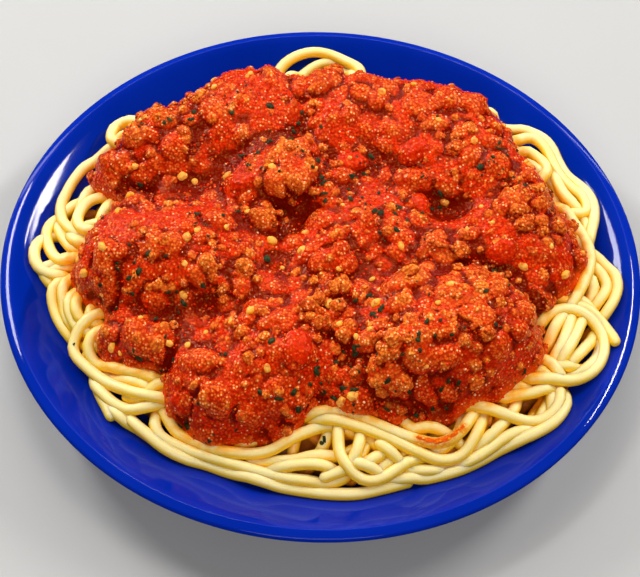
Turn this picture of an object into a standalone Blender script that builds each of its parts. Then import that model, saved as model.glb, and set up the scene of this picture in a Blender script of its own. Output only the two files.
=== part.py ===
"""Spaghetti bolognese on a round glazed plate, as three solids at real size.

Run with: blender --background --python part.py

Units are metres, +Z is up and +Y is the back of the serving. The origin is on the table, under the
centre of the plate. The plate is turned; the heap of spaghetti lies in its well and the meat sauce
lies on the spaghetti. Every solid is worked out from the sizes below.
"""

import math

import bmesh
import bpy

MM = 0.001
GAP = 0.3 * MM  # between solids that touch

# The plate: a foot ring, a flat floor, a wall that curves up, and a rolled lip.
PLATE_RADIUS = 95 * MM
PLATE_HEIGHT = 22 * MM
FLOOR_TOP = 6 * MM
FLOOR_RADIUS = 52 * MM
WALL_THICKNESS = 3.6 * MM
WALL_CURVE = 1.7  # power of the wall's rise
LIP_WIDTH = 3.4 * MM
LIP_INNER_ROUND = 1.0 * MM
LIP_OUTER_ROUND = 1.7 * MM
FOOT_RADIUS = 53 * MM
FOOT_WIDTH = 4 * MM
FOOT_HEIGHT = 2 * MM
PLATE_STEPS = 60
WALL_POINTS = 7

# The heap of spaghetti: a dome with a shoulder, over the plate's well.
HEAP_RADIUS = 82.2 * MM
HEAP_TOP = 30 * MM
HEAP_SHOULDER = 2.2  # 2 is a round shoulder, more is a squarer one
STRAND_DIAMETER = 3.5 * MM
HEAP_ROWS = 24
# waves round the outline, height in millimetres, turn in degrees
HEAP_OUTLINE = ((1, 5.0, 60), (2, 2.8, -33), (3, 0.8, -79), (5, 0.6, -53), (8, 0.7, 29), (13, 0.5, 40))
RIDGE_HEIGHT = 0.9 * MM  # how far the bundles of strands stand out
RIDGE_WAVES = ((9, 14), (5, -9))  # waves round the heap, and how much they twist on the way out

# The meat sauce: spoonfuls that lie on one another, with hollows pressed into them.
SAUCE_ROWS = 34
SAUCE_EDGE = 0.6 * MM  # least thickness over the spaghetti
SPOONFUL_BLEND = 1.3 * MM
# name, centre x and y, half length, half width, turn in degrees, height of the top; in millimetres
SPOONFULS = (
    ("mound", 4, 3, 66, 54, 0, 38.5),
    ("back_left", -24, 46, 23, 23, 0, 43.5),
    ("left_back", -45, 35, 22, 18, 20, 40.5),
    ("left_nose", -63, 26, 11, 11, 0, 34.0),
    ("left", -45, -7, 30, 19.5, 0, 42.0),
    ("centre_back", -15, 21, 18, 13, 40, 43.5),
    ("centre", 14, 3, 15, 13, 0, 40.0),
    ("back_middle", 6, 45, 19, 22, 0, 43.0),
    ("back_right", 29, 43, 32, 24, -12, 43.0),
    ("right_back", 45, 26, 27, 17, -15, 42.0),
    ("right", 54, 6, 20, 18, -10, 41.0),
    ("far_right", 64, 1, 13.5, 18, 0, 35.5),
    ("front_right", 35, -31, 31, 22, 5, 44.0),
    ("front_left", -49, -29, 14.5, 14.5, 0, 32.0),
    ("front_middle", -10, -40, 16, 16, 0, 38.5),
    ("front_tongue", -24, -46, 19.5, 18.5, 0, 34.0),
    ("tongue_side", -11, -49, 11, 14, 0, 31.0),
    ("front_lip", 22, -45, 26, 12.5, 3, 31.0),
)
# name, centre x and y, half length, half width, turn in degrees, depth; in millimetres
HOLLOWS = (
    ("centre_hollow", -10, 4, 13, 10, 60, 4.0),
    ("right_hollow", 36, 12, 16, 9, -10, 3.0),
    ("left_valley", -38, 17, 26, 8, 12, 1.5),
    ("middle_valley", -11, -14, 8, 18, 10, 3.0),
    ("front_valley", -32, -27, 26, 8, 5, 1.5),
)


def heap_radius(angle):
    """Distance from the centre to the outer edge of the spaghetti, at an angle round the plate."""
    waves = (height * MM * math.cos(n * angle - math.radians(turn)) for n, height, turn in HEAP_OUTLINE)
    return HEAP_RADIUS + sum(waves)


def wall_height(radius):
    """Height of the plate's upper face at this distance from its centre."""
    if radius <= FLOOR_RADIUS:
        return FLOOR_TOP
    rise = (radius - FLOOR_RADIUS) / (PLATE_RADIUS - LIP_WIDTH - FLOOR_RADIUS)
    return FLOOR_TOP + (PLATE_HEIGHT - FLOOR_TOP) * rise**WALL_CURVE


def heap_top(x, y):
    """Height of the top of the spaghetti: the dome, ridged by its bundles of strands."""
    angle = math.atan2(y, x)
    outer = heap_radius(angle)
    share = min(1.0, math.hypot(x, y) / outer)
    edge = wall_height(outer) + STRAND_DIAMETER / 2
    dome = (1 - share**HEAP_SHOULDER) ** (1 / HEAP_SHOULDER)
    ridge = RIDGE_HEIGHT * share
    for waves, twist in RIDGE_WAVES:
        ridge *= math.sin(waves * angle + twist * share)
    return edge + (HEAP_TOP - edge + ridge) * dome


def patch_axes(patch):
    """The centre of a spoonful or a hollow, and its two half axes divided by their squares."""
    _, x, y, length, width, turn, _ = patch
    c, s = math.cos(math.radians(turn)), math.sin(math.radians(turn))
    return (x * MM, y * MM), (c / (length * MM), s / (length * MM)), (-s / (width * MM), c / (width * MM))


def patch_share(patch, x, y):
    """0 at the middle of a spoonful or a hollow and 1 at its edge."""
    (cx, cy), along, across = patch_axes(patch)
    dx, dy = x - cx, y - cy
    return math.hypot(along[0] * dx + along[1] * dy, across[0] * dx + across[1] * dy)


def patch_reach(patch, angle):
    """How far out a spoonful's edge lies from the centre of the plate, or 0 if it isn't that way."""
    (cx, cy), along, across = patch_axes(patch)
    dx, dy = math.cos(angle), math.sin(angle)
    ray = (along[0] * dx + along[1] * dy, across[0] * dx + across[1] * dy)
    middle = (along[0] * cx + along[1] * cy, across[0] * cx + across[1] * cy)
    size = ray[0] ** 2 + ray[1] ** 2
    toward = ray[0] * middle[0] + ray[1] * middle[1]
    root = toward**2 - size * (middle[0] ** 2 + middle[1] ** 2 - 1)
    return (toward + math.sqrt(root)) / size if root > 0 else 0.0


def sauce_radius(angle):
    """Distance from the centre to the outer edge of the sauce, the furthest spoonful's."""
    return max(patch_reach(spoonful, angle) for spoonful in SPOONFULS)


def sauce_top(x, y):
    """Height of the top of the sauce: the spoonfuls' caps, blended where they meet, less the hollows."""
    floor = heap_top(x, y) + GAP + SAUCE_EDGE
    total = math.exp(floor / SPOONFUL_BLEND)
    for spoonful in SPOONFULS:
        share = patch_share(spoonful, x, y)
        if share < 1:
            cap = floor + (spoonful[-1] * MM - floor) * math.sqrt(1 - share**2)
            total += math.exp(cap / SPOONFUL_BLEND)
    top = SPOONFUL_BLEND * math.log(total)
    for hollow in HOLLOWS:
        share = patch_share(hollow, x, y)
        if share < 1:
            top -= hollow[-1] * MM * (1 - share**2) ** 2
    return max(top, floor)


def material(name, colour, roughness):
    made = bpy.data.materials.new(name)
    made.use_nodes = True
    shader = made.node_tree.nodes["Principled BSDF"]
    shader.inputs["Base Color"].default_value = (*colour, 1)
    shader.inputs["Roughness"].default_value = roughness
    shader.inputs["Metallic"].default_value = 0
    return made


def add_object(name, mesh, look, collection):
    mesh.materials.append(look)
    made = bpy.data.objects.new(name, mesh)
    collection.objects.link(made)
    return made


def arc(centre_r, centre_z, radius, start, end, points):
    """Points on an arc of the profile, from one angle to another in degrees."""
    angles = (math.radians(start + (end - start) * i / points) for i in range(points + 1))
    return [(centre_r + radius * math.cos(a), centre_z + radius * math.sin(a)) for a in angles]


def plate_profile():
    """The plate's outline from its middle, up the wall, over the lip, and back under it."""
    lip_start = PLATE_RADIUS - LIP_WIDTH
    points = [(0, FLOOR_TOP)]
    for i in range(WALL_POINTS):
        radius = FLOOR_RADIUS + (lip_start - FLOOR_RADIUS) * i / WALL_POINTS
        points.append((radius, wall_height(radius)))
    inner = LIP_INNER_ROUND
    points += arc(lip_start + inner, PLATE_HEIGHT - inner, inner, 130, 90, 2)
    outer = LIP_OUTER_ROUND
    points += arc(PLATE_RADIUS - outer, PLATE_HEIGHT - outer, outer, 90, -45, 5)
    for i in range(WALL_POINTS - 2, 0, -1):
        radius = FOOT_RADIUS + (lip_start - FOOT_RADIUS) * i / (WALL_POINTS - 1)
        points.append((radius + FOOT_HEIGHT, wall_height(radius) - WALL_THICKNESS))
    points.append((FOOT_RADIUS + FOOT_HEIGHT / 2, FOOT_HEIGHT))
    points += [(FOOT_RADIUS, 0), (FOOT_RADIUS - FOOT_WIDTH, 0)]
    points += [(FOOT_RADIUS - FOOT_WIDTH - FOOT_HEIGHT / 2, FOOT_HEIGHT), (0, FOOT_HEIGHT)]
    return points


def build_plate(look, collection):
    profile = plate_profile()
    mesh = bpy.data.meshes.new("plate")
    edges = [(i, i + 1) for i in range(len(profile) - 1)]
    mesh.from_pydata([(radius, 0, height) for radius, height in profile], edges, [])
    plate = add_object("plate", mesh, look, collection)
    turn = plate.modifiers.new("turn", "SCREW")
    turn.axis = "Z"
    turn.steps = turn.render_steps = PLATE_STEPS
    turn.use_merge_vertices = True
    turn.merge_threshold = 0.00001
    return plate


def disc_place(across, along):
    """A point of a square grid from -1 to 1, moved onto a round disc: its angle, and 0 to 1 outward."""
    if max(abs(across), abs(along)) < 1e-6:
        return 0.0, 0.0
    if abs(across) > abs(along):
        angle = math.pi / 4 * along / across + (math.pi if across < 0 else 0)
        return angle, abs(across)
    angle = math.pi / 2 - math.pi / 4 * across / along + (math.pi if along < 0 else 0)
    return angle, abs(along)


def build_heap(name, rows, outline, lower, upper, look, collection):
    """A closed heap between lower(x, y) and upper(x, y), two grids that meet along the outline."""
    work = bmesh.new()
    for height, facing_up in ((upper, True), (lower, False)):
        grid = bmesh.ops.create_grid(work, x_segments=rows, y_segments=rows, size=1)["verts"]
        for vertex in grid:
            angle, share = disc_place(vertex.co.x, vertex.co.y)
            radius = share * outline(angle)
            x, y = radius * math.cos(angle), radius * math.sin(angle)
            at_edge = share > 1 - 1e-6
            vertex.co = x, y, (lower(x, y) + upper(x, y)) / 2 if at_edge else height(x, y)
        if not facing_up:
            faces = {face for vertex in grid for face in vertex.link_faces}
            bmesh.ops.reverse_faces(work, faces=list(faces))
    bmesh.ops.remove_doubles(work, verts=work.verts, dist=0.001 * MM)
    bmesh.ops.triangulate(work, faces=work.faces)
    mesh = bpy.data.meshes.new(name)
    work.to_mesh(mesh)
    work.free()
    mesh.shade_smooth()
    return add_object(name, mesh, look, collection)


def heap_under(x, y):
    """Height of the spaghetti's underside, just clear of the plate."""
    return wall_height(math.hypot(x, y)) + 2 * GAP


def sauce_under(x, y):
    """Height of the sauce's underside, just clear of the spaghetti."""
    return heap_top(x, y) + 2 * GAP


def sauce_over(x, y):
    return sauce_top(x, y) + GAP


def main():
    for old in list(bpy.data.objects):
        bpy.data.objects.remove(old)
    collection = bpy.data.collections.new("spaghetti_bolognese")
    bpy.context.scene.collection.children.link(collection)
    build_plate(material("cobalt_glaze", (0.004, 0.028, 0.36), 0.12), collection)
    pasta = material("cooked_pasta", (0.90, 0.68, 0.30), 0.4)
    build_heap("spaghetti", HEAP_ROWS, heap_radius, heap_under, heap_top, pasta, collection)
    sauce = material("bolognese", (0.52, 0.05, 0.01), 0.35)
    build_heap("meat_sauce", SAUCE_ROWS, sauce_radius, sauce_under, sauce_over, sauce, collection)


main()
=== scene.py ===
"""Spaghetti bolognese on a glazed plate: the look of each piece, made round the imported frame.

The script is laid out as a Blender add-on and is run as a script. Each operator makes one piece or
one group of like pieces. Lengths in the settings are metres; the shape work is done in millimetres
and turned into metres when a mesh is made. +Y is the back of the serving and +Z is up.
"""

import math

import bmesh
import bpy
import numpy as np
from bpy.props import FloatProperty, FloatVectorProperty, IntProperty, PointerProperty
from bpy.types import Operator, Panel, PropertyGroup
from mathutils import Matrix, Vector, noise
from mathutils.bvhtree import BVHTree
from mathutils.kdtree import KDTree


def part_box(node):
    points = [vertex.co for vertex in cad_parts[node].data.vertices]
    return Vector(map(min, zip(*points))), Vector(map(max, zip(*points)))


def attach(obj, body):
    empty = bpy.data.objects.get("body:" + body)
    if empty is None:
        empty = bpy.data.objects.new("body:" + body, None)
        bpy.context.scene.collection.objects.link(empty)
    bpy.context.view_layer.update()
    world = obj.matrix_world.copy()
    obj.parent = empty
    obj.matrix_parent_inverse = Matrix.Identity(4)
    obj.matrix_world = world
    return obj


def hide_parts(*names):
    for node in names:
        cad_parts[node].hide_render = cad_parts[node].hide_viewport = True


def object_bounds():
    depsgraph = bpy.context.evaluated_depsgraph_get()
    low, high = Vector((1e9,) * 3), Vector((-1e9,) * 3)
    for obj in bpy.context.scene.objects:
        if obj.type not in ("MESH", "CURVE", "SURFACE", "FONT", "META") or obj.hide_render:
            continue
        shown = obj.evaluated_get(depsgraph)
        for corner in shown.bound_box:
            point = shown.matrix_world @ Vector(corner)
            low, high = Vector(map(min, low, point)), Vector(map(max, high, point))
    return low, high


bl_info = {
    "name": "Spaghetti bolognese",
    "version": (1, 0, 0),
    "blender": (4, 5, 0),
    "location": "3D View > Sidebar > Bolognese",
    "description": "Makes a plate of spaghetti bolognese round its packed frame",
    "category": "Add Mesh",
}

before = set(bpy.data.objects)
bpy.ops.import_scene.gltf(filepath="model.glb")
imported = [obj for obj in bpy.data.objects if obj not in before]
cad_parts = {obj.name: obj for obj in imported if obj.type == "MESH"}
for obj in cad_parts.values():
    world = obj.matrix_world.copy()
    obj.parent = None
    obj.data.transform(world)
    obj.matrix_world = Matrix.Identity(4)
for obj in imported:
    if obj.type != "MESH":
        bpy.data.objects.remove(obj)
CAD_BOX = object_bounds()

MM = 0.001
TAU = 2 * math.pi
RASTER_REACH = 96.0  # from the middle of the plate to a raster's edge, in millimetres
RASTER_STEP = 0.32  # between the cells of a raster
COARSE_STEP = 0.96  # between the places where the frame's heights are taken
OUTLINE_STEPS = 720
OUTLINE_TURNS = np.arange(OUTLINE_STEPS) * TAU / OUTLINE_STEPS
OUTLINE_BLUR = math.radians(1.7)

# What one operator leaves for the next: the raster of the strands' tops, and places on the sauce.
workings = {}


# ---------------------------------------------------------------- settings

CRUMB_SIZE = 3.6  # the middling crumb, for which the sizes of all crumbs are given
PLATE_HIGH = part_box("plate")[1]


def length(name, description, default):
    """A length setting, given in millimetres and kept in metres."""
    return FloatProperty(name=name, description=description, default=default * MM, unit="LENGTH", precision=4)


def count(name, description, default):
    """A setting for how many there are."""
    return IntProperty(name=name, description=description, default=default, min=0)


def colour(name, description, default):
    """A colour setting."""
    return FloatVectorProperty(
        name=name, description=description, default=default, subtype="COLOR", size=3, min=0, max=1
    )


class BologneseSizes(PropertyGroup):
    """Sizes of the plate and of what lies on it"""

    plate_radius: length("Plate radius", "From the middle to the outer edge of the lip", PLATE_HIGH.x / MM)
    plate_height: length("Plate height", "From the table to the top of the lip", PLATE_HIGH.z / MM)
    floor_top: length("Floor top", "Height of the plate's flat floor", 6)
    floor_radius: length("Floor radius", "Radius of the flat floor, where the wall starts", 52)
    wall_thickness: length("Wall thickness", "Thickness of the plate's wall", 3.6)
    lip_width: length("Lip width", "Width of the rolled lip, seen from above", 3.4)
    foot_radius: length("Foot radius", "Outer radius of the foot ring", 53)
    foot_width: length("Foot width", "Width of the foot ring", 4)
    foot_height: length("Foot height", "Height of the foot ring", 2)
    strand_diameter: length("Strand diameter", "Thickness of the cooked spaghetti", 3.5)
    strand_bend: length("Strand bend", "Tightest bend of a strand that lies over another", 4.5)
    crumb_size: length("Crumb size", "Middling size of the crumbs of minced meat", CRUMB_SIZE)
    herb_size: length("Herb size", "Length of the larger flakes of dried herb", 2.2)


class BologneseAmounts(PropertyGroup):
    """How many of each there are"""

    filler_strands: count("Strands below", "Strands tried under the ones that show", 74)
    clumps: count("Clumps", "Rounded clumps in the surface of the sauce", 300)
    relief_crumbs: count("Crumbs", "Small crumbs sunk in the sauce", 900)
    grains: count("Grains", "Fine grains on the surface of the sauce", 3600)
    onions: count("Onion bits", "Bits of golden onion in the sauce", 90)
    herbs: count("Herb flakes", "Larger flakes of dried herb on the sauce", 210)


class BologneseColours(PropertyGroup):
    """Colours of the finishes"""

    glaze: colour("Glaze", "The plate's cobalt glaze", (0.0004, 0.015, 0.27))
    clay: colour("Clay", "The bare clay under the foot", (0.72, 0.62, 0.50))
    # The pale and golden pasta are painted on a strand's lit top and shaded sides, as painted light and
    # shade; the golden one is also the strand's own streaks.
    pasta_pale_lit: colour("Pale pasta", "The pale top of a strand", (1.0, 0.77, 0.34))
    pasta_gold_and_shade: colour("Golden pasta", "The deeper colour of a strand", (1.0, 0.57, 0.014))
    # Deep pasta is painted shade, for strands deep in the heap and for the core between them.
    pasta_shade: colour("Deep pasta", "A strand deep in the heap", (0.62, 0.17, 0.008))
    stain: colour("Stain", "Pasta stained by the sauce", (1.0, 0.40, 0.006))
    sauce: colour("Sauce", "The lit surface of the sauce", (0.72, 0.020, 0.001))
    # Deep sauce is painted shade, in the creases and valleys of the sauce and low on the crumbs.
    sauce_shade: colour("Deep sauce", "The sauce in its creases", (0.17, 0.003, 0.000))
    rim: colour("Sauce rim", "The thin edge of the sauce", (0.80, 0.09, 0.004))
    fleck: colour("Fleck", "Orange grains in the sauce", (0.78, 0.12, 0.012))
    meat: colour("Meat", "The minced meat", (0.82, 0.215, 0.020))
    tomato: colour("Tomato", "Pieces of tomato", (0.62, 0.016, 0.001))
    # The pale core of some grains: a painted glint, partly pale bits in the sauce.
    pulp_glint: colour("Pulp", "Pale grains of pulp in the sauce", (1.0, 0.62, 0.32))
    onion: colour("Onion", "Bits of golden onion", (1.0, 0.45, 0.07))
    herb: colour("Herb", "Flakes of dried herb", (0.016, 0.022, 0.005))
    floor: colour("Floor", "The floor the plate stands on", (0.47, 0.465, 0.455))


# ---------------------------------------------------------------- rasters


def raster_line(step=RASTER_STEP):
    """The places of a raster's cells along one side."""
    return np.linspace(-RASTER_REACH, RASTER_REACH, 2 * round(RASTER_REACH / step) + 1)


def raster_places(step=RASTER_STEP):
    """The x and y of each cell of a raster."""
    line = raster_line(step)
    return np.meshgrid(line, line)


def read(cells, x, y):
    """The raster's value at these places, between its cells."""
    last = len(cells) - 1
    step = 2 * RASTER_REACH / last
    column = np.clip((np.asarray(x) + RASTER_REACH) / step, 0, last - 1e-6)
    row = np.clip((np.asarray(y) + RASTER_REACH) / step, 0, last - 1e-6)
    return between(cells, row, column)


def between(cells, row, column):
    """A table's value between its rows and columns."""
    j = np.minimum(row.astype(int), cells.shape[0] - 2)
    i = np.minimum(column.astype(int), cells.shape[1] - 2)
    u, v = column - i, row - j
    near = cells[j, i] * (1 - u) + cells[j, i + 1] * u
    far = cells[j + 1, i] * (1 - u) + cells[j + 1, i + 1] * u
    return near * (1 - v) + far * v


def window(cells, x, y, reach):
    """The cells within a square round a place, and how far each is from it in x and in y."""
    last = len(cells) - 1
    step = 2 * RASTER_REACH / last
    spans = []
    for middle in (x, y):
        low = max(0, math.ceil((middle - reach + RASTER_REACH) / step))
        high = min(last, math.floor((middle + reach + RASTER_REACH) / step)) + 1
        spans.append((slice(low, high), np.arange(low, high) * step - RASTER_REACH - middle))
    (columns, across), (rows, along) = spans
    return (rows, columns), across[None, :], along[:, None]


def blurred(cells, width):
    """The raster smoothed by a round brush of this width in millimetres."""
    step = 2 * RASTER_REACH / (len(cells) - 1)
    rows = np.fft.fftfreq(cells.shape[0], step)[:, None]
    columns = np.fft.rfftfreq(cells.shape[1], step)[None, :]
    keep = np.exp(-2 * (math.pi * width) ** 2 * (rows**2 + columns**2))
    return np.fft.irfft2(np.fft.rfft2(cells) * keep, s=cells.shape)


def ripple(rng, width):
    """A raster of smooth random hills about this wide, mostly from -2 to 2."""
    size = len(raster_line())
    hilly = blurred(rng.standard_normal((size, size)), width)
    return hilly / hilly.std()


def soft_step(value, low, high):
    """0 below low, 1 above high, and smooth between."""
    share = np.clip((value - low) / (high - low), 0, 1)
    return share * share * (3 - 2 * share)


# ---------------------------------------------------------------- the frame's shapes


def outline_of(node):
    """A function from an angle to the radius of the node's outline seen from above, in millimetres."""
    work = bmesh.new()
    work.from_mesh(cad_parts[node].data)
    bmesh.ops.remove_doubles(work, verts=work.verts, dist=0.01 * MM)
    work.normal_update()
    rim = set()
    for edge in work.edges:
        if len(edge.link_faces) == 2:
            one, other = (face.normal.z for face in edge.link_faces)
            if one > 0 > other or other > 0 > one:
                rim.update(edge.verts)
    places = np.array([(math.atan2(v.co.y, v.co.x), v.co.xy.length / MM) for v in rim])
    work.free()
    places = places[np.argsort(places[:, 0])]
    reach = np.interp(OUTLINE_TURNS, places[:, 0], places[:, 1], period=TAU)
    waves = np.fft.rfftfreq(OUTLINE_STEPS, TAU / OUTLINE_STEPS)
    keep = np.exp(-2 * (math.pi * OUTLINE_BLUR * waves) ** 2)
    reach = np.fft.irfft(np.fft.rfft(reach) * keep, OUTLINE_STEPS)
    return lambda angle: np.interp(angle, OUTLINE_TURNS, reach, period=TAU)


def top_of(node, x, y):
    """Heights of the top of a node at these places, in millimetres."""
    work = bmesh.new()
    work.from_mesh(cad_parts[node].data)
    tree = BVHTree.FromBMesh(work)
    work.free()
    down, above = Vector((0, 0, -1)), 0.1
    heights = np.zeros(np.shape(x))
    for at in np.ndindex(heights.shape):
        hit = tree.ray_cast(Vector((x[at] * MM, y[at] * MM, above)), down)[0]
        heights[at] = hit.z / MM if hit else 0
    return heights


def top_raster(node, outline, keep_inside):
    """The node's top on the fine raster; past its outline the height at its edge carries on."""
    x, y = raster_places(COARSE_STEP)
    radius = np.hypot(x, y)
    most = outline(np.arctan2(y, x)) * keep_inside
    shrink = np.minimum(1, most / np.maximum(radius, 1e-6))
    coarse = top_of(node, x * shrink, y * shrink)
    return read(coarse, *raster_places())


# ---------------------------------------------------------------- meshes


class Shape:
    """Collects the points, faces, map and point values of one mesh."""

    def __init__(self):
        self.points, self.faces, self.maps = [], [], []
        self.values = {}
        self.first = self.count = 0

    def add(self, points, **values):
        """Adds points in millimetres, and what is painted on them."""
        self.first, self.count = self.count, self.count + len(points)
        self.points.append(np.asarray(points, float))
        for name, value in values.items():
            self.values.setdefault(name, []).append(np.broadcast_to(value, len(points)))

    def join(self, faces, places):
        """Adds faces as rows of numbers of the points just added, and a map place for each corner."""
        self.faces.append(np.asarray(faces, int) + self.first)
        self.maps.append(np.asarray(places, float).reshape(-1, 2))

    def piece(self, name, look, slot, *replaced):
        """Makes the object, with its material, sets it on the root and hides the frame's parts that it stands
        for.
        """
        points = np.concatenate(self.points) * MM
        sizes = np.concatenate([np.full(len(f), f.shape[1]) for f in self.faces])
        corners = np.concatenate([f.ravel() for f in self.faces])
        mesh = bpy.data.meshes.new(name)
        mesh.vertices.add(len(points))
        mesh.vertices.foreach_set("co", points.ravel())
        mesh.loops.add(len(corners))
        mesh.loops.foreach_set("vertex_index", corners)
        mesh.polygons.add(len(sizes))
        mesh.polygons.foreach_set("loop_start", np.concatenate([[0], np.cumsum(sizes)[:-1]]))
        mesh.update(calc_edges=True)
        if mesh.validate():
            raise RuntimeError(f"{name} had faces that can't be kept")
        places = np.concatenate(self.maps)
        places = (places - places.min(0)) / np.ptp(places, axis=0)
        layer = mesh.uv_layers.new(name="OFBake")
        layer.data.foreach_set("uv", places.ravel())
        for value_name, parts in self.values.items():
            attribute = mesh.attributes.new(value_name, "FLOAT", "POINT")
            attribute.data.foreach_set("value", np.concatenate(parts))
        mesh.shade_smooth()
        mesh.materials.append(look)
        made = bpy.data.objects.new(name, mesh)
        bpy.context.scene.collection.objects.link(made)
        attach(made, "root")
        if replaced:
            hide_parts(*replaced)


def grid_faces(rows, columns, wrap=False):
    """Faces of a grid of points that is stored row by row; with wrap, its last column joins its first."""
    row, column = np.meshgrid(np.arange(rows - 1), np.arange(columns - (not wrap)), indexing="ij")
    after = (column + 1) % columns
    faces = np.stack([row * columns + column, row * columns + after], -1)
    above = np.stack([(row + 1) * columns + after, (row + 1) * columns + column], -1)
    return np.concatenate([faces, above], -1).reshape(-1, 4)


def fan(middle, ring, after):
    """Triangles from one point to each stretch of a ring."""
    return np.stack([np.full(len(ring), middle), ring, after], -1)


def disc_grid(rows):
    """A square grid moved onto a round disc: each point's angle, and 0 to 1 outward."""
    line = np.linspace(-1, 1, rows)
    across, along = np.meshgrid(line, line)
    wide = np.abs(across) > np.abs(along)
    low = np.where(wide, across, along)
    turn = math.pi / 4 * np.where(wide, along, across) / np.where(np.abs(low) < 1e-9, 1, low)
    angle = np.where(wide, turn + math.pi * (across < 0), math.pi / 2 - turn + math.pi * (along < 0))
    return angle.ravel(), np.abs(low).ravel()


def rim_of(rows):
    """The numbers of a square grid's outer points, in order round it."""
    first, last = np.arange(rows - 1), rows - 1
    bottom, right = first, first * rows + last
    top, left = last * rows + last - first, (last - first) * rows
    return np.concatenate([bottom, right, top, left])


def run_along(points):
    """How far along the line through them each point lies."""
    return np.concatenate([[0], np.cumsum(np.linalg.norm(np.diff(points, axis=0), axis=1))])


def unit(vectors):
    """Rows of vectors, each made one long."""
    return vectors / np.linalg.norm(vectors, axis=1, keepdims=True)


def spline(points, spacing):
    """Points this far apart along a smooth curve through the given ones."""
    points = np.asarray(points, float)
    held = np.concatenate([[2 * points[0] - points[1]], points, [2 * points[-1] - points[-2]]])
    share = np.linspace(0, 1, 16, endpoint=False)[:, None]
    curve = []
    for a, b, c, d in zip(held, held[1:], held[2:], held[3:]):
        bend = (2 * a - 5 * b + 4 * c - d) * share**2 + (3 * b - 3 * c + d - a) * share**3
        curve.append(b + 0.5 * ((c - a) * share + bend))
    curve = np.concatenate(curve + [points[-1:]])
    run = run_along(curve)
    even = np.linspace(0, run[-1], max(3, round(run[-1] / spacing) + 1))
    return np.stack([np.interp(even, run, line) for line in curve.T], -1)


# ---------------------------------------------------------------- materials

GRAIN_WIDTH = 0.82  # between the grains of the sauce, in millimetres
WET = 1.42  # how strongly food wetted by oil bends light


def shade(tint, share):
    """A colour made darker or lighter."""
    return tuple(min(1, c * share) for c in tint)


class Value:
    """A number that varies over a surface. Sums of values add their own Math nodes."""

    def __init__(self, look, socket):
        self.look, self.socket = look, socket

    def _math(self, operation, one, other):
        """The Math node that works out this operation."""
        return self.look.node("ShaderNodeMath", {"operation": operation}, {0: one, 1: other})

    def __add__(self, other):
        return self._math("ADD", self, other)

    def __mul__(self, other):
        return self._math("MULTIPLY", self, other)

    def __sub__(self, other):
        return self._math("SUBTRACT", self, other)

    def __rsub__(self, other):
        return self._math("SUBTRACT", other, self)

    __radd__ = __add__
    __rmul__ = __mul__

    def clear(self, low, high):
        """0 below low, 1 above high, and smooth between; the other way round if low is the higher."""
        values = {"Value": self, "From Min": low, "From Max": high}
        return self.look.node("ShaderNodeMapRange", {"interpolation_type": "SMOOTHSTEP"}, values)


class Look:
    """One material, and the ways in which its nodes are made."""

    def __init__(self, name, **constants):
        self.material = bpy.data.materials.new(name)
        self.material.use_nodes = True
        self.tree = self.material.node_tree
        self.shader = self.tree.nodes["Principled BSDF"]
        for socket, value in constants.items():
            self.shader.inputs[socket.replace("_", " ")].default_value = value
        self.at = self.node("ShaderNodeTexCoord", {}, {}, "Object")

    def node(self, kind, settings, values, output=0):
        """Makes a node, gives it its settings and then its sockets' values or links."""
        made = self.tree.nodes.new(kind)
        for name, setting in settings.items():
            setattr(made, name, setting)
        for name, value in values.items():
            self._give(made.inputs[name], value)
        return Value(self, made.outputs[output])

    def _give(self, socket, value):
        """Links a value to a socket, or sets the socket to a number, a colour or a vector."""
        if isinstance(value, Value):
            self.tree.links.new(value.socket, socket)
        elif hasattr(socket.default_value, "__len__") and len(socket.default_value) == 4:
            socket.default_value = (*value, 1)
        else:
            socket.default_value = value

    def painted(self, name):
        """A value that the mesh holds at its points."""
        return self.node("ShaderNodeAttribute", {"attribute_name": name}, {}, "Fac")

    def noise(self, width, detail=2.0):
        """Smooth noise with features about this many millimetres wide."""
        values = {"Vector": self.at, "Scale": 1 / (width * MM), "Detail": detail}
        return self.node("ShaderNodeTexNoise", {}, values, "Fac")

    def cells(self, width):
        """Distance to the nearest of scattered points, about this many millimetres apart."""
        values = {"Vector": self.at, "Scale": 1 / (width * MM)}
        return self.node("ShaderNodeTexVoronoi", {}, values, "Distance")

    def grains(self, width):
        """Round grains this far apart: the distance from the middle of each, and a number for each."""
        distance = self.cells(width)
        tint = Value(self, distance.socket.node.outputs["Color"])
        return distance, self.node("ShaderNodeSeparateColor", {}, {"Color": tint}, "Red")

    def mix(self, share, low, high):
        """One colour or the other, by a share from 0 to 1."""
        return self.node("ShaderNodeMix", {"data_type": "RGBA"}, {0: share, 6: low, 7: high}, 2)

    def bump(self, height, depth):
        """A normal that follows a height from 0 to 1, this many millimetres deep."""
        return self.node("ShaderNodeBump", {}, {"Height": height, "Distance": depth * MM}, "Normal")

    def wear(self, **values):
        """Links values to the shader's own sockets, and gives the finished material."""
        for name, value in values.items():
            self._give(self.shader.inputs[name.replace("_", " ")], value)
        return self.material


def cobalt_glaze(colours):
    """Deep blue glaze, glassy, a little lighter where it pools less; bare clay under the foot."""
    look = Look("cobalt_glaze", IOR=1.5, Specular_IOR_Level=0.10)
    bare = look.painted("bare")
    deep, light = colours.glaze, tuple(c * 1.3 + 0.002 for c in colours.glaze)
    thinner = look.noise(26, detail=3).clear(0.35, 0.75) * 0.35 + look.painted("thin") * 0.45
    specks = look.cells(1.6).clear(0.10, 0.05) * look.noise(7).clear(0.62, 0.72)
    blue = look.mix(specks * 0.35, look.mix(thinner, deep, light), shade(deep, 0.35))
    clay = look.mix(look.noise(0.8, detail=3).clear(0.3, 0.7), shade(colours.clay, 0.8), colours.clay)
    return look.wear(
        Base_Color=look.mix(bare, blue, clay),
        Roughness=bare * 0.7 + (0.03 + look.noise(9, detail=3) * 0.04),
        Normal=look.bump(look.noise(14, detail=1), 0.004),
    )


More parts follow.
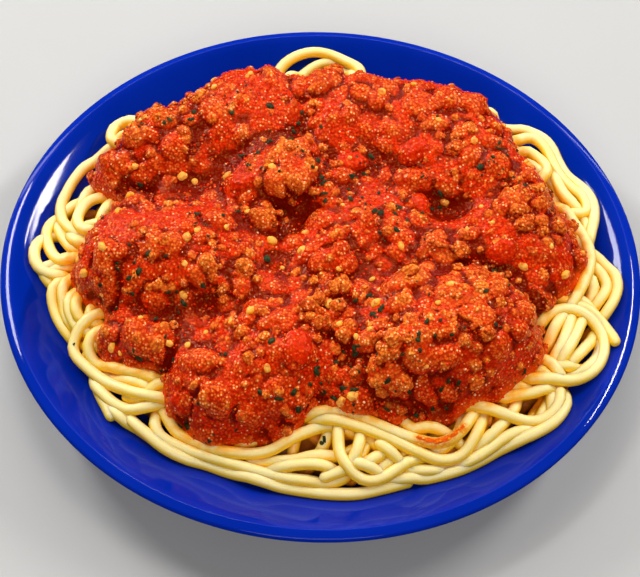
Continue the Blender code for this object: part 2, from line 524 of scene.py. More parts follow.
def cooked_pasta(colours):
    """Soft pale yellow strands with painted light and shade: pale on their lit tops, golden on their sides
    and where they lie deep in the heap; stained orange near the sauce.
    """
    look = Look(
        "cooked_pasta",
        IOR=WET,
        Specular_IOR_Level=0.6,
        Specular_Tint=(1.0, 0.93, 0.76, 1.0),
        Subsurface_Weight=0.5,
        Subsurface_Radius=(2.6 * MM, 2.2 * MM, 0.5 * MM),
        Subsurface_Scale=1.0,
    )
    deep, fine = look.painted("deep"), look.noise(1.3, detail=3)
    streaks = look.painted("tone") * 0.25 + look.noise(11, detail=2).clear(0.35, 0.75) * 0.2
    # Painted shade: the sides of a strand that face away from the top turn golden, while its top stays pale
    # as painted light.
    shaded_flanks = 1 - look.painted("upper").clear(0.1, 1.0)
    gold_and_shade = (deep * 1.1 + streaks + shaded_flanks * 0.95 - 0.05).clear(0.0, 1.0)
    pasta = look.mix(gold_and_shade, colours.pasta_pale_lit, colours.pasta_gold_and_shade)
    # Painted shade: strands deep in the heap turn to deep pasta.
    pasta = look.mix(deep.clear(0.30, 0.85) * 0.95, pasta, colours.pasta_shade)
    pasta = look.mix(fine.clear(0.5, 0.8) * 0.12, pasta, shade(colours.pasta_gold_and_shade, 0.85))
    stain = look.painted("stain") * (0.45 + look.noise(3.2, detail=3).clear(0.35, 0.65) * 0.55)
    smear = look.painted("smear") * (0.55 + look.noise(1.4, detail=2).clear(0.35, 0.6) * 0.45)
    seen = look.mix((stain + smear * 1.2).clear(0.0, 1.0), pasta, colours.stain)
    return look.wear(
        Base_Color=look.mix(smear.clear(0.45, 1.0) * 0.7, seen, colours.rim),
        Roughness=0.30 + look.noise(2.4, detail=3) * 0.2,
        Normal=look.bump(fine * 0.5 + look.noise(0.45, detail=2) * 0.3, 0.09),
    )


def pasta_core_shade(colours):
    """The dim pasta deep in the heap: painted shade, for the core that shows only in the shade between the
    strands.
    """
    look = Look("pasta_core_shade", Subsurface_Weight=0.1, Subsurface_Radius=(2 * MM, 1 * MM, 0.4 * MM))
    return look.wear(
        Base_Color=look.mix(look.noise(3.5, detail=3), shade(colours.pasta_shade, 0.5), colours.pasta_shade),
        Roughness=0.35 + look.noise(5) * 0.2,
        Normal=look.bump(look.cells(3.2), 0.8),
    )


class Sauced(Look):
    """The wet, closely packed grain that the sauce and all that is coated by it share."""

    def __init__(self, name, colours):
        super().__init__(
            name,
            IOR=WET,
            Specular_IOR_Level=0.40,
            Specular_Tint=(1.0, 0.36, 0.06, 1.0),
            Subsurface_Weight=0.08,
            Subsurface_Radius=(1.2 * MM, 0.30 * MM, 0.10 * MM),
            Subsurface_Scale=1.0,
        )
        self.colours = colours
        self.fine = self.noise(1.9, detail=1)
        self.wide = self.noise(7, detail=2)
        self.distance, self.pick = self.grains(GRAIN_WIDTH)

    def grained(self, grain_shade, middle, light, rare=0.0):
        """Grains of these colours, with painted shade where they meet; some have a pale core painted as a
        glint, partly a pale bit of the sauce, fewer if rare.
        """
        tops = self.mix(self.pick.clear(0.30 + rare, 0.80 + rare), middle, light)
        # Painted glints: a pale core in some of the grains.
        core = self.pick.clear(0.66 + rare, 0.72 + rare) * self.distance.clear(0.38, 0.16)
        tops = self.mix(core * 0.8, tops, self.colours.pulp_glint)
        # Painted shade where the grains meet.
        return self.mix(self.distance.clear(0.68, 0.30), grain_shade, tops)

    def wet(self, seen, depth=0.5):
        """Finishes the material with its gloss, and with the grain this many millimetres deep."""
        relief = (1 - self.distance * self.distance) * 0.42 + self.fine
        return self.wear(Base_Color=seen, Roughness=0.10 + self.wide * 0.14, Normal=self.bump(relief, depth))


def bolognese(colours):
    """Tomato sauce full of fine meat: red between, brown and orange on the meat, pale grain cores painted as
    glints, and painted shade between the grains and in the creases and valleys.
    """
    look = Sauced("bolognese", colours)
    red = look.mix(look.wide.clear(0.35, 0.65), shade(colours.sauce, 0.75), shade(colours.sauce, 1.15))
    red = look.grained(shade(colours.sauce, 0.62), red, colours.fleck, rare=0.20)
    orange = look.grained(shade(colours.sauce, 0.6), colours.fleck, shade(colours.meat, 1.2))
    brown = look.grained(shade(colours.fleck, 0.8), colours.meat, shade(colours.meat, 1.5))
    ridge = look.painted("ridge")
    # Crests are painted more orange: partly the meat showing on the lumps, partly painted light on the lit
    # crests.
    seen = look.mix(ridge * 0.4, red, orange)
    seen = look.mix(look.painted("meat") * (0.25 + ridge * 0.75), seen, brown)
    # Painted shade in the creases and valleys of the sauce.
    hollow = (look.painted("crease") * 1.15 + look.painted("valley") * 0.7).clear(0.0, 1.0)
    seen = look.mix(hollow, seen, colours.sauce_shade)
    return look.wet(look.mix(look.painted("rim") * 0.6, seen, colours.rim))


def minced_meat(colours):
    """Crumbs of browned meat with a coat of sauce that thins to golden brown on their tops, and painted shade
    low on their sides.
    """
    look = Sauced("minced_meat", colours)
    red = look.grained(shade(colours.sauce, 0.42), colours.sauce, colours.fleck)
    brown = look.grained(shade(colours.fleck, 0.8), shade(colours.meat, 1.1), shade(colours.meat, 1.6))
    top = look.painted("top")
    shown = (top * 0.9 + look.noise(2.6, detail=2) * 0.9 - 0.55).clear(0.0, 0.6)
    seen = look.mix(shown * look.painted("meat"), red, brown)
    # Painted shade on the crumbs' lower sides, where they sink into the sauce.
    return look.wet(look.mix(top.clear(0.6, 0.0) * 0.7, seen, colours.sauce_shade))


def pulp_grains(colours):
    """Fine grains: most as red as the sauce, some orange, a few pale as painted glints."""
    look = Look(
        "pulp_grains",
        IOR=WET,
        Specular_Tint=(1.0, 0.5, 0.25, 1.0),
        Subsurface_Weight=0.15,
        Subsurface_Radius=(0.8 * MM, 0.25 * MM, 0.1 * MM),
    )
    tone, blotch = look.painted("tone"), look.noise(0.6, detail=2)
    seen = look.mix(tone.clear(0.0, 0.55), shade(colours.sauce, 0.85), shade(colours.sauce, 1.3))
    seen = look.mix(tone.clear(0.55, 0.75) * 0.9, seen, colours.fleck)
    # A few pale grains, as painted glints.
    seen = look.mix(tone.clear(0.93, 0.98) * 0.8, seen, colours.pulp_glint)
    return look.wear(Base_Color=seen, Roughness=0.10 + blotch * 0.12, Normal=look.bump(blotch, 0.08))


def thin_sauce(colours):
    """A little sauce with hardly any grain, orange where it is thin."""
    look = Sauced("thin_sauce", colours)
    red = look.grained(colours.rim, shade(colours.rim, 1.2), colours.stain, rare=0.1)
    return look.wet(look.mix(look.painted("top").clear(0.5, 0.1), red, colours.stain), 0.25)


def soft_tomato(colours):
    """Smooth wet pieces of tomato that the sauce's grains coat at their edges."""
    look = Sauced("soft_tomato", colours)
    red = look.grained(shade(colours.tomato, 0.6), colours.tomato, colours.fleck, rare=0.22)
    bare = look.painted("top").clear(0.55, 0.95)
    return look.wet(look.mix(bare * 0.4, red, shade(colours.tomato, 1.2)), 0.4)


def golden_onion(colours):
    """Small pale golden bits, half coated with sauce."""
    look = Look(
        "golden_onion",
        IOR=WET,
        Specular_Tint=(1.0, 0.7, 0.4, 1.0),
        Subsurface_Weight=0.25,
        Subsurface_Radius=(1.4 * MM, 0.8 * MM, 0.3 * MM),
    )
    coat = look.noise(1.6, detail=3).clear(0.50, 0.66)
    seen = look.mix(look.painted("top"), colours.stain, colours.onion)
    seen = look.mix(coat * 0.6, seen, colours.sauce)
    return look.wear(Base_Color=seen, Roughness=0.20 + coat * 0.15, Normal=look.bump(coat, 0.2))


def dried_herb(colours):
    """Dark green leaf, wetted by the sauce."""
    look = Look("dried_herb", IOR=1.4, Specular_IOR_Level=0.12, Coat_Roughness=0.3)
    tone = look.noise(0.9, detail=3)
    return look.wear(
        Base_Color=look.mix(tone.clear(0.4, 0.75), colours.herb, shade(colours.herb, 2.6)),
        Roughness=0.35 + tone * 0.3,
        Coat_Weight=tone * 0.15,
        Normal=look.bump(tone, 0.15),
    )


def pale_floor(colours):
    """A plain matt floor, hardly mottled."""
    look = Look("pale_floor", Specular_IOR_Level=0.2)
    return look.wear(
        Base_Color=look.mix(look.noise(40, detail=3), shade(colours.floor, 0.97), colours.floor),
        Roughness=0.6 + look.noise(30) * 0.1,
    )


# ---------------------------------------------------------------- the plate

PLATE_STEPS = 288
WALL_POINTS = 26
WALL_CURVE = 1.7  # the power by which the wall steepens outward
LIP_INNER_ROUND = 0.6
LIP_OUTER_ROUND = 1.1
LIP_FALL = 20  # how far the lip's top slopes down to its edge, in degrees
LIP_FROM, LIP_TO = 126, -50  # where the rounding of the lip starts and ends, in degrees
FOOT_ROUND = ((0.5, 0.8), (0, 0.3), (-0.4, 0))  # the foot ring's edge: outward of its side, and up
SHEET_GAP = 4  # between the two round sheets of the plate's map


def arc(centre_r, centre_z, radius, start, end, points):
    """Points on an arc of the profile, from one angle to another in degrees."""
    turn = np.radians(np.linspace(start, end, points + 1))
    return np.stack([centre_r + radius * np.cos(turn), centre_z + radius * np.sin(turn)], -1)


def wall_height(sizes, radius):
    """Height of the plate's upper face at this distance from its middle, in millimetres."""
    floor, start = sizes.floor_top / MM, sizes.floor_radius / MM
    end = (sizes.plate_radius - sizes.lip_width) / MM
    rise = np.clip((np.asarray(radius, float) - start) / (end - start), 0, 1)
    return floor + (sizes.plate_height / MM - floor) * rise**WALL_CURVE


def plate_profile(sizes):
    """The plate's outline from its middle, up the wall, over the lip and back under it to the middle."""
    edge, height = sizes.plate_radius / MM, sizes.plate_height / MM
    lip, start = edge - sizes.lip_width / MM, sizes.floor_radius / MM
    slope, top = math.radians(LIP_FALL), 90 - LIP_FALL
    inner = np.linspace(0, start, 8)[:, None] * [1, 0] + [0, sizes.floor_top / MM]
    wall = np.linspace(start, lip, WALL_POINTS)[1:]
    upper = np.stack([wall, wall_height(sizes, wall)], -1)
    inside = arc(lip + LIP_INNER_ROUND, height - LIP_INNER_ROUND, LIP_INNER_ROUND, LIP_FROM, top, 5)
    middle = edge - LIP_OUTER_ROUND
    shoulder = LIP_OUTER_ROUND * np.array([math.sin(slope), math.cos(slope)])
    drop = (middle + shoulder[0] - inside[-1, 0]) * math.tan(slope)
    outside = arc(middle, inside[-1, 1] - drop - shoulder[1], LIP_OUTER_ROUND, top, LIP_TO, 14)
    foot, rise = sizes.foot_radius / MM, sizes.foot_height / MM
    under = np.linspace(lip - 1.2, foot + 1.5, WALL_POINTS)
    lower = np.stack([under + 1.4, wall_height(sizes, under) - sizes.wall_thickness / MM], -1)
    ring_in = foot - sizes.foot_width / MM
    outer_foot = [(foot + rise * 0.55, rise)] + [(foot + out, up) for out, up in FOOT_ROUND]
    inner_foot = [(ring_in + 0.4, 0), (ring_in, 0.3), (ring_in - 0.5, 0.9)]
    inner_foot += [(ring_in - rise * 0.6, rise), (0, rise)]
    return np.concatenate([inner, upper[:-1], inside, outside, lower[1:-1], outer_foot, inner_foot])


def build_plate(sizes, colours):
    """The plate, turned from its profile. Its map has one round sheet for each side."""
    profile = plate_profile(sizes)
    radius, height = profile.T
    run = run_along(profile)
    angle = np.arange(PLATE_STEPS) * TAU / PLATE_STEPS
    spokes = np.stack([np.cos(angle), np.sin(angle)], -1)

    def round_axis(line):
        """Each value of the profile for all its points: the first and last lie on the axis."""
        return np.concatenate([line[:1], np.repeat(line[1:-1], PLATE_STEPS), line[-1:]])

    def turned(reach):
        """Places round the axis, this far from it."""
        return np.concatenate([[(0, 0)], (reach[1:-1, None, None] * spokes).reshape(-1, 2), [(0, 0)]])

    foot = sizes.foot_radius / MM
    on_foot = (radius > foot - sizes.foot_width / MM - 1) & (radius < foot + 1)
    lip = (sizes.plate_radius - sizes.lip_width) / MM
    thin = soft_step(radius, lip - 1.5, lip + 0.6) * soft_step(height, 19.5, 21)
    bare = ((height < 0.5) & on_foot).astype(float)
    shape = Shape()
    points = np.column_stack([turned(radius), round_axis(height)])
    shape.add(points, bare=round_axis(bare), thin=round_axis(thin))
    above, below = turned(run), turned(run[-1] - run) + (run[-1] + SHEET_GAP, 0)
    quads = grid_faces(len(profile) - 2, PLATE_STEPS, wrap=True)[:, ::-1] + 1
    first_below = (int(np.argmax(radius)) - 1) * PLATE_STEPS
    ring = np.arange(PLATE_STEPS) + 1
    after, last = np.roll(ring, -1), len(points) - 1
    to_last = last - 1 - PLATE_STEPS
    for faces, sheet in (
        (quads[:first_below], above),
        (quads[first_below:], below),
        (fan(0, ring, after), above),
        (fan(last, after + to_last, ring + to_last), below),
    ):
        shape.join(faces, sheet[faces])
    shape.piece("glazed_plate", cobalt_glaze(colours), "plate", "plate")


# ---------------------------------------------------------------- the spaghetti

STRAND_SIDES = 12
STRAND_STEP = 1.0  # between the points at which a strand is laid, in millimetres
MESH_STEP = 2  # laid points for each ring of the mesh
SQUEEZE = 0.8  # how far a soft strand keeps its thickness over another
PRESSED = 1.4  # how far strands may stand above the height kept for them, in millimetres
LAYER = 2.5  # room kept for each strand that is still to lie above, in millimetres
SAUCE_ROOM = 3.4  # room kept for the sauce above, in millimetres
SETTLE = 1.6  # over how much of its length a strand's bumps even out, in millimetres
CORE_INSET = 8.0
CORE_DEPTH, CORE_SLOPE = 1.5, 9.0  # how deep the core lies below the heap's top, and how much deeper outward
BACK_INSET = 9.0  # how much further in the strands below lie at the back, under the arch
TUCKED = 9.0  # how far under the sauce a hidden end of a strand lies, in millimetres
CORE_ROWS = 58
CORE_UNDER = (190, 0)  # where its underside lies on the map, beside its top
NOWHERE = -1e9  # a height that is always lower
HEAP_BLUR, STRANDS_BLUR = 1.2, 3.0  # how far the heap's form and the laid strands are evened out
STRAND_END = np.array([(0.72, 0.45), (0.42, 0.80)])  # rings that round an end: how far past it, and how wide
STRAND_TIP = 0.8  # how far past its last laid point a strand reaches, by its radius
MAP_ROW = 360.0  # the longest row of strands on their map

# Strands below the ones that show, in millimetres from the middle of the plate or in from the heap's edge.
BELOW_TURN = 0.618034  # of a round, from one to the next, so that they spread evenly
BELOW_FRONT = 0.35  # the front has a third as many, by the sine of the angle where it starts
BELOW_HALF = (18, 42)  # half their length
BELOW_REACH = 70  # the radius that their length is turned into an angle with
BELOW_INSETS = ((6.5, 12.0), (8.0, 19.0))  # of the first half of them, and of the rest
BELOW_ENDS = (26, 34)  # how far in their ends lie
BELOW_POINTS = 9

# Reaches of the sauce that has run onto the strands, in millimetres.
STAIN_REACH = 9.0
HALO_REACH, HALO = 4.5, 0.95
SMEAR_REACH = 2.3

# The strands that show, from the bottom of the heap to its top, by the points that each passes, in
# millimetres from the middle of the plate. Most start and end under the sauce.
ROUTES = (
    # left
    ((-82.6, -5), (-81, -7.6), (-79, -9), (-76, -10.2), (-72, -10.2), (-64, -9)),
    ((-80, -5), (-77.4, -3.6), (-74, -3), (-66, -3)),
    ((-82, -3.4), (-79.3, -1.6), (-76.5, 0), (-73, 1), (-66, 1.5)),
    ((-64, 8), (-72, 9), (-79, 9.5), (-83.4, 7), (-85.4, 3.5), (-85.6, 0), (-84.6, -3), (-82, -5.4),
     (-78, -6.9), (-74, -7.4), (-66, -7)),
    ((-70, 20), (-77, 18.5), (-80.8, 15), (-82.6, 11), (-82.8, 7.5), (-81.8, 4), (-80, 0.6), (-77.5, -2),
     (-74.5, -2), (-66, 1)),
    ((-70, 24), (-78, 18), (-80, 13.5), (-78.6, 8.8), (-76.3, 5), (-73.6, 2), (-66, 0)),
    ((-62, 31), (-69.5, 26), (-72.5, 21.5), (-73.7, 17), (-74.4, 12.5), (-75.4, 8.5), (-74.4, 4.6),
     (-70, 2), (-63, 1)),
    ((-60, 46), (-68, 41), (-73.5, 37), (-76.6, 31.5), (-78.5, 26), (-79.6, 20), (-79, 15), (-77.3, 11),
     (-74.5, 7.7), (-70, 5), (-62, 3)),
    ((-58, 22), (-66, 21), (-69.8, 19.6), (-72.2, 17), (-73.5, 13), (-73.1, 9.4), (-70.6, 6.6), (-62, 5)),
    # front left
    ((-34, -62), (-26, -66), (-19, -68), (-12.5, -69.5), (-7, -70.2), (-2.6, -68.8), (0.5, -65.8), (3, -62),
     (5, -54)),
    ((-2, -52), (-5.4, -61), (-6.6, -66), (-9.6, -70), (-13, -71)),
    ((-18, -67), (-8, -67.4), (0.4, -67), (6, -66.4), (13, -63)),
    ((-16, -70), (-6, -69.6), (0, -69.8), (5, -70.4), (11, -70.4)),
    ((-66, -7), (-74, -8.6), (-78.2, -10.4), (-79, -13.5), (-78, -17.4), (-76, -21.7), (-73, -25.7),
     (-69, -29.5), (-62, -32)),
    ((-66, -7), (-73.5, -9.3), (-75.7, -12.4), (-75.3, -16), (-74.3, -20), (-71.6, -24), (-64, -28)),
    ((-58, -12), (-67, -13), (-71.3, -14), (-73.3, -17), (-73.2, -20.2), (-71.6, -23.6), (-69, -26.5),
     (-62, -29)),
    ((-58, -14), (-66, -14), (-69.9, -15.7), (-71.1, -18.6), (-70.8, -21.5), (-68.6, -24.2), (-60, -26)),
    ((-56, -17), (-63.3, -18.3), (-65.7, -19.9), (-66.8, -22.5), (-65.6, -25.2), (-58, -27)),
    ((-64, -41), (-61.6, -46.6), (-59.6, -50.6), (-58, -54)),
    ((-62, -42), (-59, -50.6), (-55, -54.6), (-50.4, -56.6), (-46.3, -59.6), (-42, -63)),
    ((-52, -48), (-52.6, -54.6), (-46.6, -60.2), (-41.6, -64), (-37, -66), (-30, -67.4), (-22, -70.2),
     (-14, -73), (-5, -74.8), (4, -76), (12, -76), (19, -74), (26.6, -71.2)),
    ((-50, -44), (-45.4, -51.6), (-45.4, -56.6), (-43.6, -60), (-40, -62.1), (-34, -64.5), (-26.7, -66.8),
     (-20, -69), (-12, -71.3), (-3, -73), (4.4, -73.2), (9, -71.4), (12, -68), (14.4, -63), (17, -52)),
    ((-48, -42), (-43.4, -52.6), (-39.6, -58.5), (-35, -61.4), (-28, -64.3), (-20.8, -65.8), (-14, -65.6),
     (-8, -63.4), (-2, -60.4), (3, -58.6), (8.3, -59), (14, -61.4), (20, -64.6)),
    ((-62, -30), (-66.8, -33.4), (-65.6, -37), (-61, -40.6), (-55, -43.8), (-47, -47.3), (-38, -49),
     (-30, -49)),
    ((-58, -26), (-64.6, -29.4), (-66.4, -32.6), (-65, -35.8), (-61, -38.6), (-55, -41.7), (-46.3, -44.7),
     (-36, -46)),
    ((-54, -48.6), (-49.4, -50), (-45.6, -47.2), (-38, -45)),
    ((-64, -38), (-63.6, -43), (-60.7, -47.2), (-57, -50.7), (-52.8, -52.8), (-48.3, -52.9), (-44, -51.6),
     (-36, -51)),
    ((-52, -20), (-60.8, -22), (-65.4, -24), (-69.2, -27), (-70.9, -31), (-69.9, -34.5), (-66.4, -38.2),
     (-60.8, -43.3), (-55, -47.3), (-49.6, -49.8), (-43, -51), (-36, -50)),
    # front
    ((11, -52), (12.6, -60), (12, -66), (9, -70.4), (3, -73)),
    ((30, -58), (25, -64.6), (20.4, -68), (15.8, -71.4)),
    ((24, -58), (19.4, -65.4), (14.4, -69)),
    ((66, -42.5), (62.6, -47.4), (60.6, -51.6), (59.4, -55.6)),
    ((67.5, -41), (65.8, -46), (63.6, -51), (61, -56.4)),
    ((12, -69.6), (22, -71.2), (29, -70.6), (36, -69), (42, -67), (47.6, -64), (52, -61), (57.6, -58.8),
     (63, -56), (67.6, -52.8), (70.4, -48.6), (71.3, -44.6), (69.6, -40), (62, -36)),
    ((18, -64), (26, -68.2), (32.6, -68.6), (38.6, -66.9), (43.4, -64.8), (46.6, -62), (49.2, -58.6),
     (51.6, -54), (53.2, -48), (54, -38)),
    ((28, -64), (34, -66.2), (39.5, -66.6), (44, -65.4), (48.4, -62.6), (52.6, -59.2), (57.4, -56.3),
     (62, -54), (66.4, -50), (67, -44)),
    ((40, -65), (47.4, -60.4), (51, -57), (54, -53), (56.6, -48), (57, -40)),
    ((20, -50), (26.6, -58.4), (31, -57.9), (35, -57.9), (38.6, -59), (43, -62.4)),
    ((5, -46), (6.4, -56), (6.5, -62.6), (7.3, -67.6), (9.8, -71), (13.2, -73), (17, -73), (21, -71.1),
     (25.4, -68), (31, -64.8), (37, -62), (41, -56), (41, -46)),
    ((-2, -56), (6, -58.2), (13, -60.2), (20, -62.2), (28, -64.7), (33, -65.9), (37.4, -65.9),
     (41.4, -64.4), (44.2, -61), (46.2, -56.6), (47.4, -51), (47, -40)),
    ((-12, -54), (-5, -56), (0, -55.8), (5.4, -55.2), (10, -56.2), (15, -58.2), (21, -60.2), (27, -61.7),
     (33, -62.6), (37.6, -61.6), (41.3, -58.4), (43.8, -54), (46, -49.8), (49, -45), (52, -36)),
    # front right
    ((44, -40), (52, -46.6), (56, -46.4), (60, -45.2), (64, -43.6), (67.6, -42), (71, -38)),
    ((44, -36), (52, -42.6), (57, -43), (61.6, -42.6), (66, -40)),
    ((26, -38), (34, -46), (40, -50.4), (45, -51.2), (49.4, -51.6), (53.6, -52.8), (58, -53.4),
     (63.3, -52.6), (67, -50), (69, -46.5), (69.2, -42.4), (66.6, -38), (58, -35)),
    # back right
    ((64, 26), (72, 19.6), (76, 15.6), (78.8, 12), (80.4, 8), (80, 3), (77, -3), (68, -6)),
    ((60, 40), (68, 36), (72.4, 31.4), (74.4, 27), (73.6, 22), (66, 18)),
    ((58, 46), (66, 45.6), (70, 41), (71, 35), (73, 29), (76.2, 25.2), (79, 21), (79.5, 16), (76, 11),
     (66, 8)),
    ((50, 56), (60, 57.6), (65, 55.4), (68.6, 52.2), (70.8, 48.4), (72.2, 44.2), (74.2, 39.6), (77.6, 35.6),
     (80.6, 31.4), (82.3, 26.6), (82.2, 21.4), (81, 15.4), (79.4, 9), (76, 3), (70, -1)),
    ((50, 46), (60.6, 51.6), (64, 52.8), (67, 51), (69.3, 47), (70.8, 42), (72.4, 37.4), (75.2, 33.4),
     (78.8, 30.4), (80.3, 26.4), (79.4, 22.8), (75.8, 21.4), (66, 22)),
    ((50, 40), (61, 44.8), (64.8, 43.9), (67.3, 41), (68.2, 37), (64, 31)),
    # right
    ((66, -2), (72.4, -9.6), (71.4, -15), (68.6, -21)),
    ((70, 2), (78, -2.6), (80.6, -6.4), (79, -11), (75.6, -16), (72, -22)),
    ((68, 8), (77, 3.8), (82.6, -0.6), (84.6, -4.6), (83.4, -9), (80.4, -13), (76.6, -17), (73, -22)),
    ((68, 14), (75.6, 10), (80.6, 6.4), (84, 3.4), (86.6, 0.6), (87.6, -2.6), (87.6, -6.4), (86.4, -10.4),
     (84.2, -14.2), (81, -18), (78, -22)),
    ((72, -10), (74.6, -14), (72.8, -20.4), (71.4, -25.6), (69, -31), (65.8, -35.6), (60, -40)),
    ((76, -12), (77, -17), (75.4, -22.6), (73.4, -27.4), (71, -32), (68, -36.2), (62, -42)),
    ((80, -14), (81, -19), (79, -25), (76, -30), (73, -33.6), (69.4, -37), (63, -41)),
    ((60, -35), (68, -36), (73, -35.4), (77.6, -33.8), (81, -30), (82, -25)),
    ((76, -12), (81.6, -16.6), (82.8, -22), (82, -27), (80, -31.5), (76.5, -35.6), (72, -38), (67, -39)),
    ((69, -12), (76.5, -15), (81, -17.5), (83.6, -20.5), (85.1, -23.3), (85.9, -25.8)),
    ((62, 26), (72.4, 21.4), (75.2, 17), (77.4, 12.4), (79.2, 7.8), (79.8, 3.4), (79.2, -1), (77.6, -6),
     (75, -12), (71.8, -17.4), (68.4, -23), (66, -28), (62, -33), (56, -37)),
    ((52, -32), (59.6, -34.3), (62.8, -33.9), (66.2, -35.4), (69.6, -39)),
    ((53, -35), (59.6, -36.6), (63.2, -37.7), (66.6, -40)),
    ((50, -28), (59.6, -24.9), (64, -22), (66.6, -19.3), (70, -17.4), (74, -16.9), (78.2, -18.2),
     (81.3, -21), (82.8, -25), (82.3, -30), (80.3, -34.5), (77, -37.6), (72.5, -39.7), (67, -40.7),
     (60.6, -40.9), (50, -38)),
    # back
    ((-13, 60), (-12.4, 71), (-8.6, 78.5), (-3.4, 82.6), (1.6, 83.4), (5.2, 81.4), (7.6, 76), (8, 62)),
    ((-13.5, 56), (-17, 66), (-17.8, 73), (-16.6, 78.4), (-13.4, 82.8), (-8.2, 85.6), (-2.4, 86.2), (3, 84),
     (7.6, 79.8), (10.4, 73.6), (9.5, 60)),
    ((-46, 42), (-57, 49.6), (-62, 51.9), (-65.4, 50.9), (-66.6, 47.6), (-65.4, 42.6), (-56, 36)),
    ((38, 54), (46.4, 64), (50, 63.8), (52.4, 58), (50, 48)),
)

# The smear of sauce along one strand, as x and y in millimetres.
SMEAR = ((29.6, -62.5), (32, -62.9), (34.4, -62.8), (36.8, -62.1), (39, -60.7), (40.9, -58.9))


def tucked(route, sauce_edge):
    """The route, with each end that goes under the sauce carried on well inside it."""
    points = [np.array(point, float) for point in route]
    for end in (0, -1):
        x, y = points[end]
        edge, reach = float(sauce_edge(math.atan2(y, x))), math.hypot(x, y)
        if -1 < edge - reach < TUCKED - 1:
            inner = points[end] * (edge - TUCKED) / reach
            points.insert(0 if end == 0 else len(points), inner)
    return np.array(points)


def strand_top(cells, x, y, radius):
    """The part of a raster that a strand covers here, and how far its top lies above its middle there."""
    part, across, along = window(cells, x, y, radius)
    room = radius**2 - across**2 - along**2
    return part, np.where(room > 0, np.sqrt(np.maximum(room, 0)), NOWHERE)


def covered_by(path, radius):
    """A raster that is 1 where a strand passes, and 0 elsewhere."""
    cover = np.zeros((len(raster_line()),) * 2)
    for x, y in path:
        part, rise = strand_top(cover, x, y, radius)
        cover[part] = np.maximum(cover[part], rise > 0)
    return cover


def resting(cells, path, radius):
    """The lowest heights at which the middle of a strand clears what lies under it."""
    heights = []
    for x, y in path:
        part, rise = strand_top(cells, x, y, radius)
        heights.append((cells[part] + rise * SQUEEZE).max())
    return np.array(heights)


def lay_strand(top, ground, most, path, radius, bend):
    """Lets a strand down on the heap, adds it to the raster of tops, and returns its middle line."""
    run = np.arange(len(path)) * STRAND_STEP
    gap = run[:, None] - run[None, :]
    draped = (resting(top, path, radius)[None, :] - gap**2 / (2 * bend)).max(1)
    over = np.maximum(draped - read(most, *path.T), 0)
    pressed = draped - over + PRESSED * (1 - np.exp(-over / PRESSED))
    draped = np.maximum(pressed, resting(ground, path, radius))
    brush = np.exp(-0.5 * (gap / SETTLE) ** 2)
    height = (brush * draped[None, :]).sum(1) / brush.sum(1)
    for x, y, z in zip(*path.T, height):
        part, rise = strand_top(top, x, y, radius)
        top[part] = np.maximum(top[part], z + rise)
    return np.column_stack([path, height])


def routes_below(rng, tries, edge):
    """Strands that lie round the heap under the ones that show: arcs whose ends turn in under the sauce."""
    for number in range(tries):
        middle = TAU * (number * BELOW_TURN % 1)
        if math.sin(middle) < BELOW_FRONT and number % 3:
            continue
        half = rng.uniform(*BELOW_HALF) / BELOW_REACH
        inset, ends = rng.uniform(*BELOW_INSETS[number >= tries * 0.5]), rng.uniform(*BELOW_ENDS)
        inset += BACK_INSET * (math.sin(middle) > 0.8)
        power, lean = rng.uniform(2.0, 4.0), rng.uniform(-0.35, 0.35)
        share = np.linspace(-1, 1, BELOW_POINTS)
        angle = middle + half * (share + 0.25 * share**3 * rng.uniform(-1, 1))
        inward = inset + (ends - inset) * np.abs(share) ** power + lean * 6 * share * (1 - share**2)
        reach = edge(angle) - (inward + rng.normal(0, 0.7, BELOW_POINTS))
        yield np.column_stack([reach * np.cos(angle), reach * np.sin(angle)])


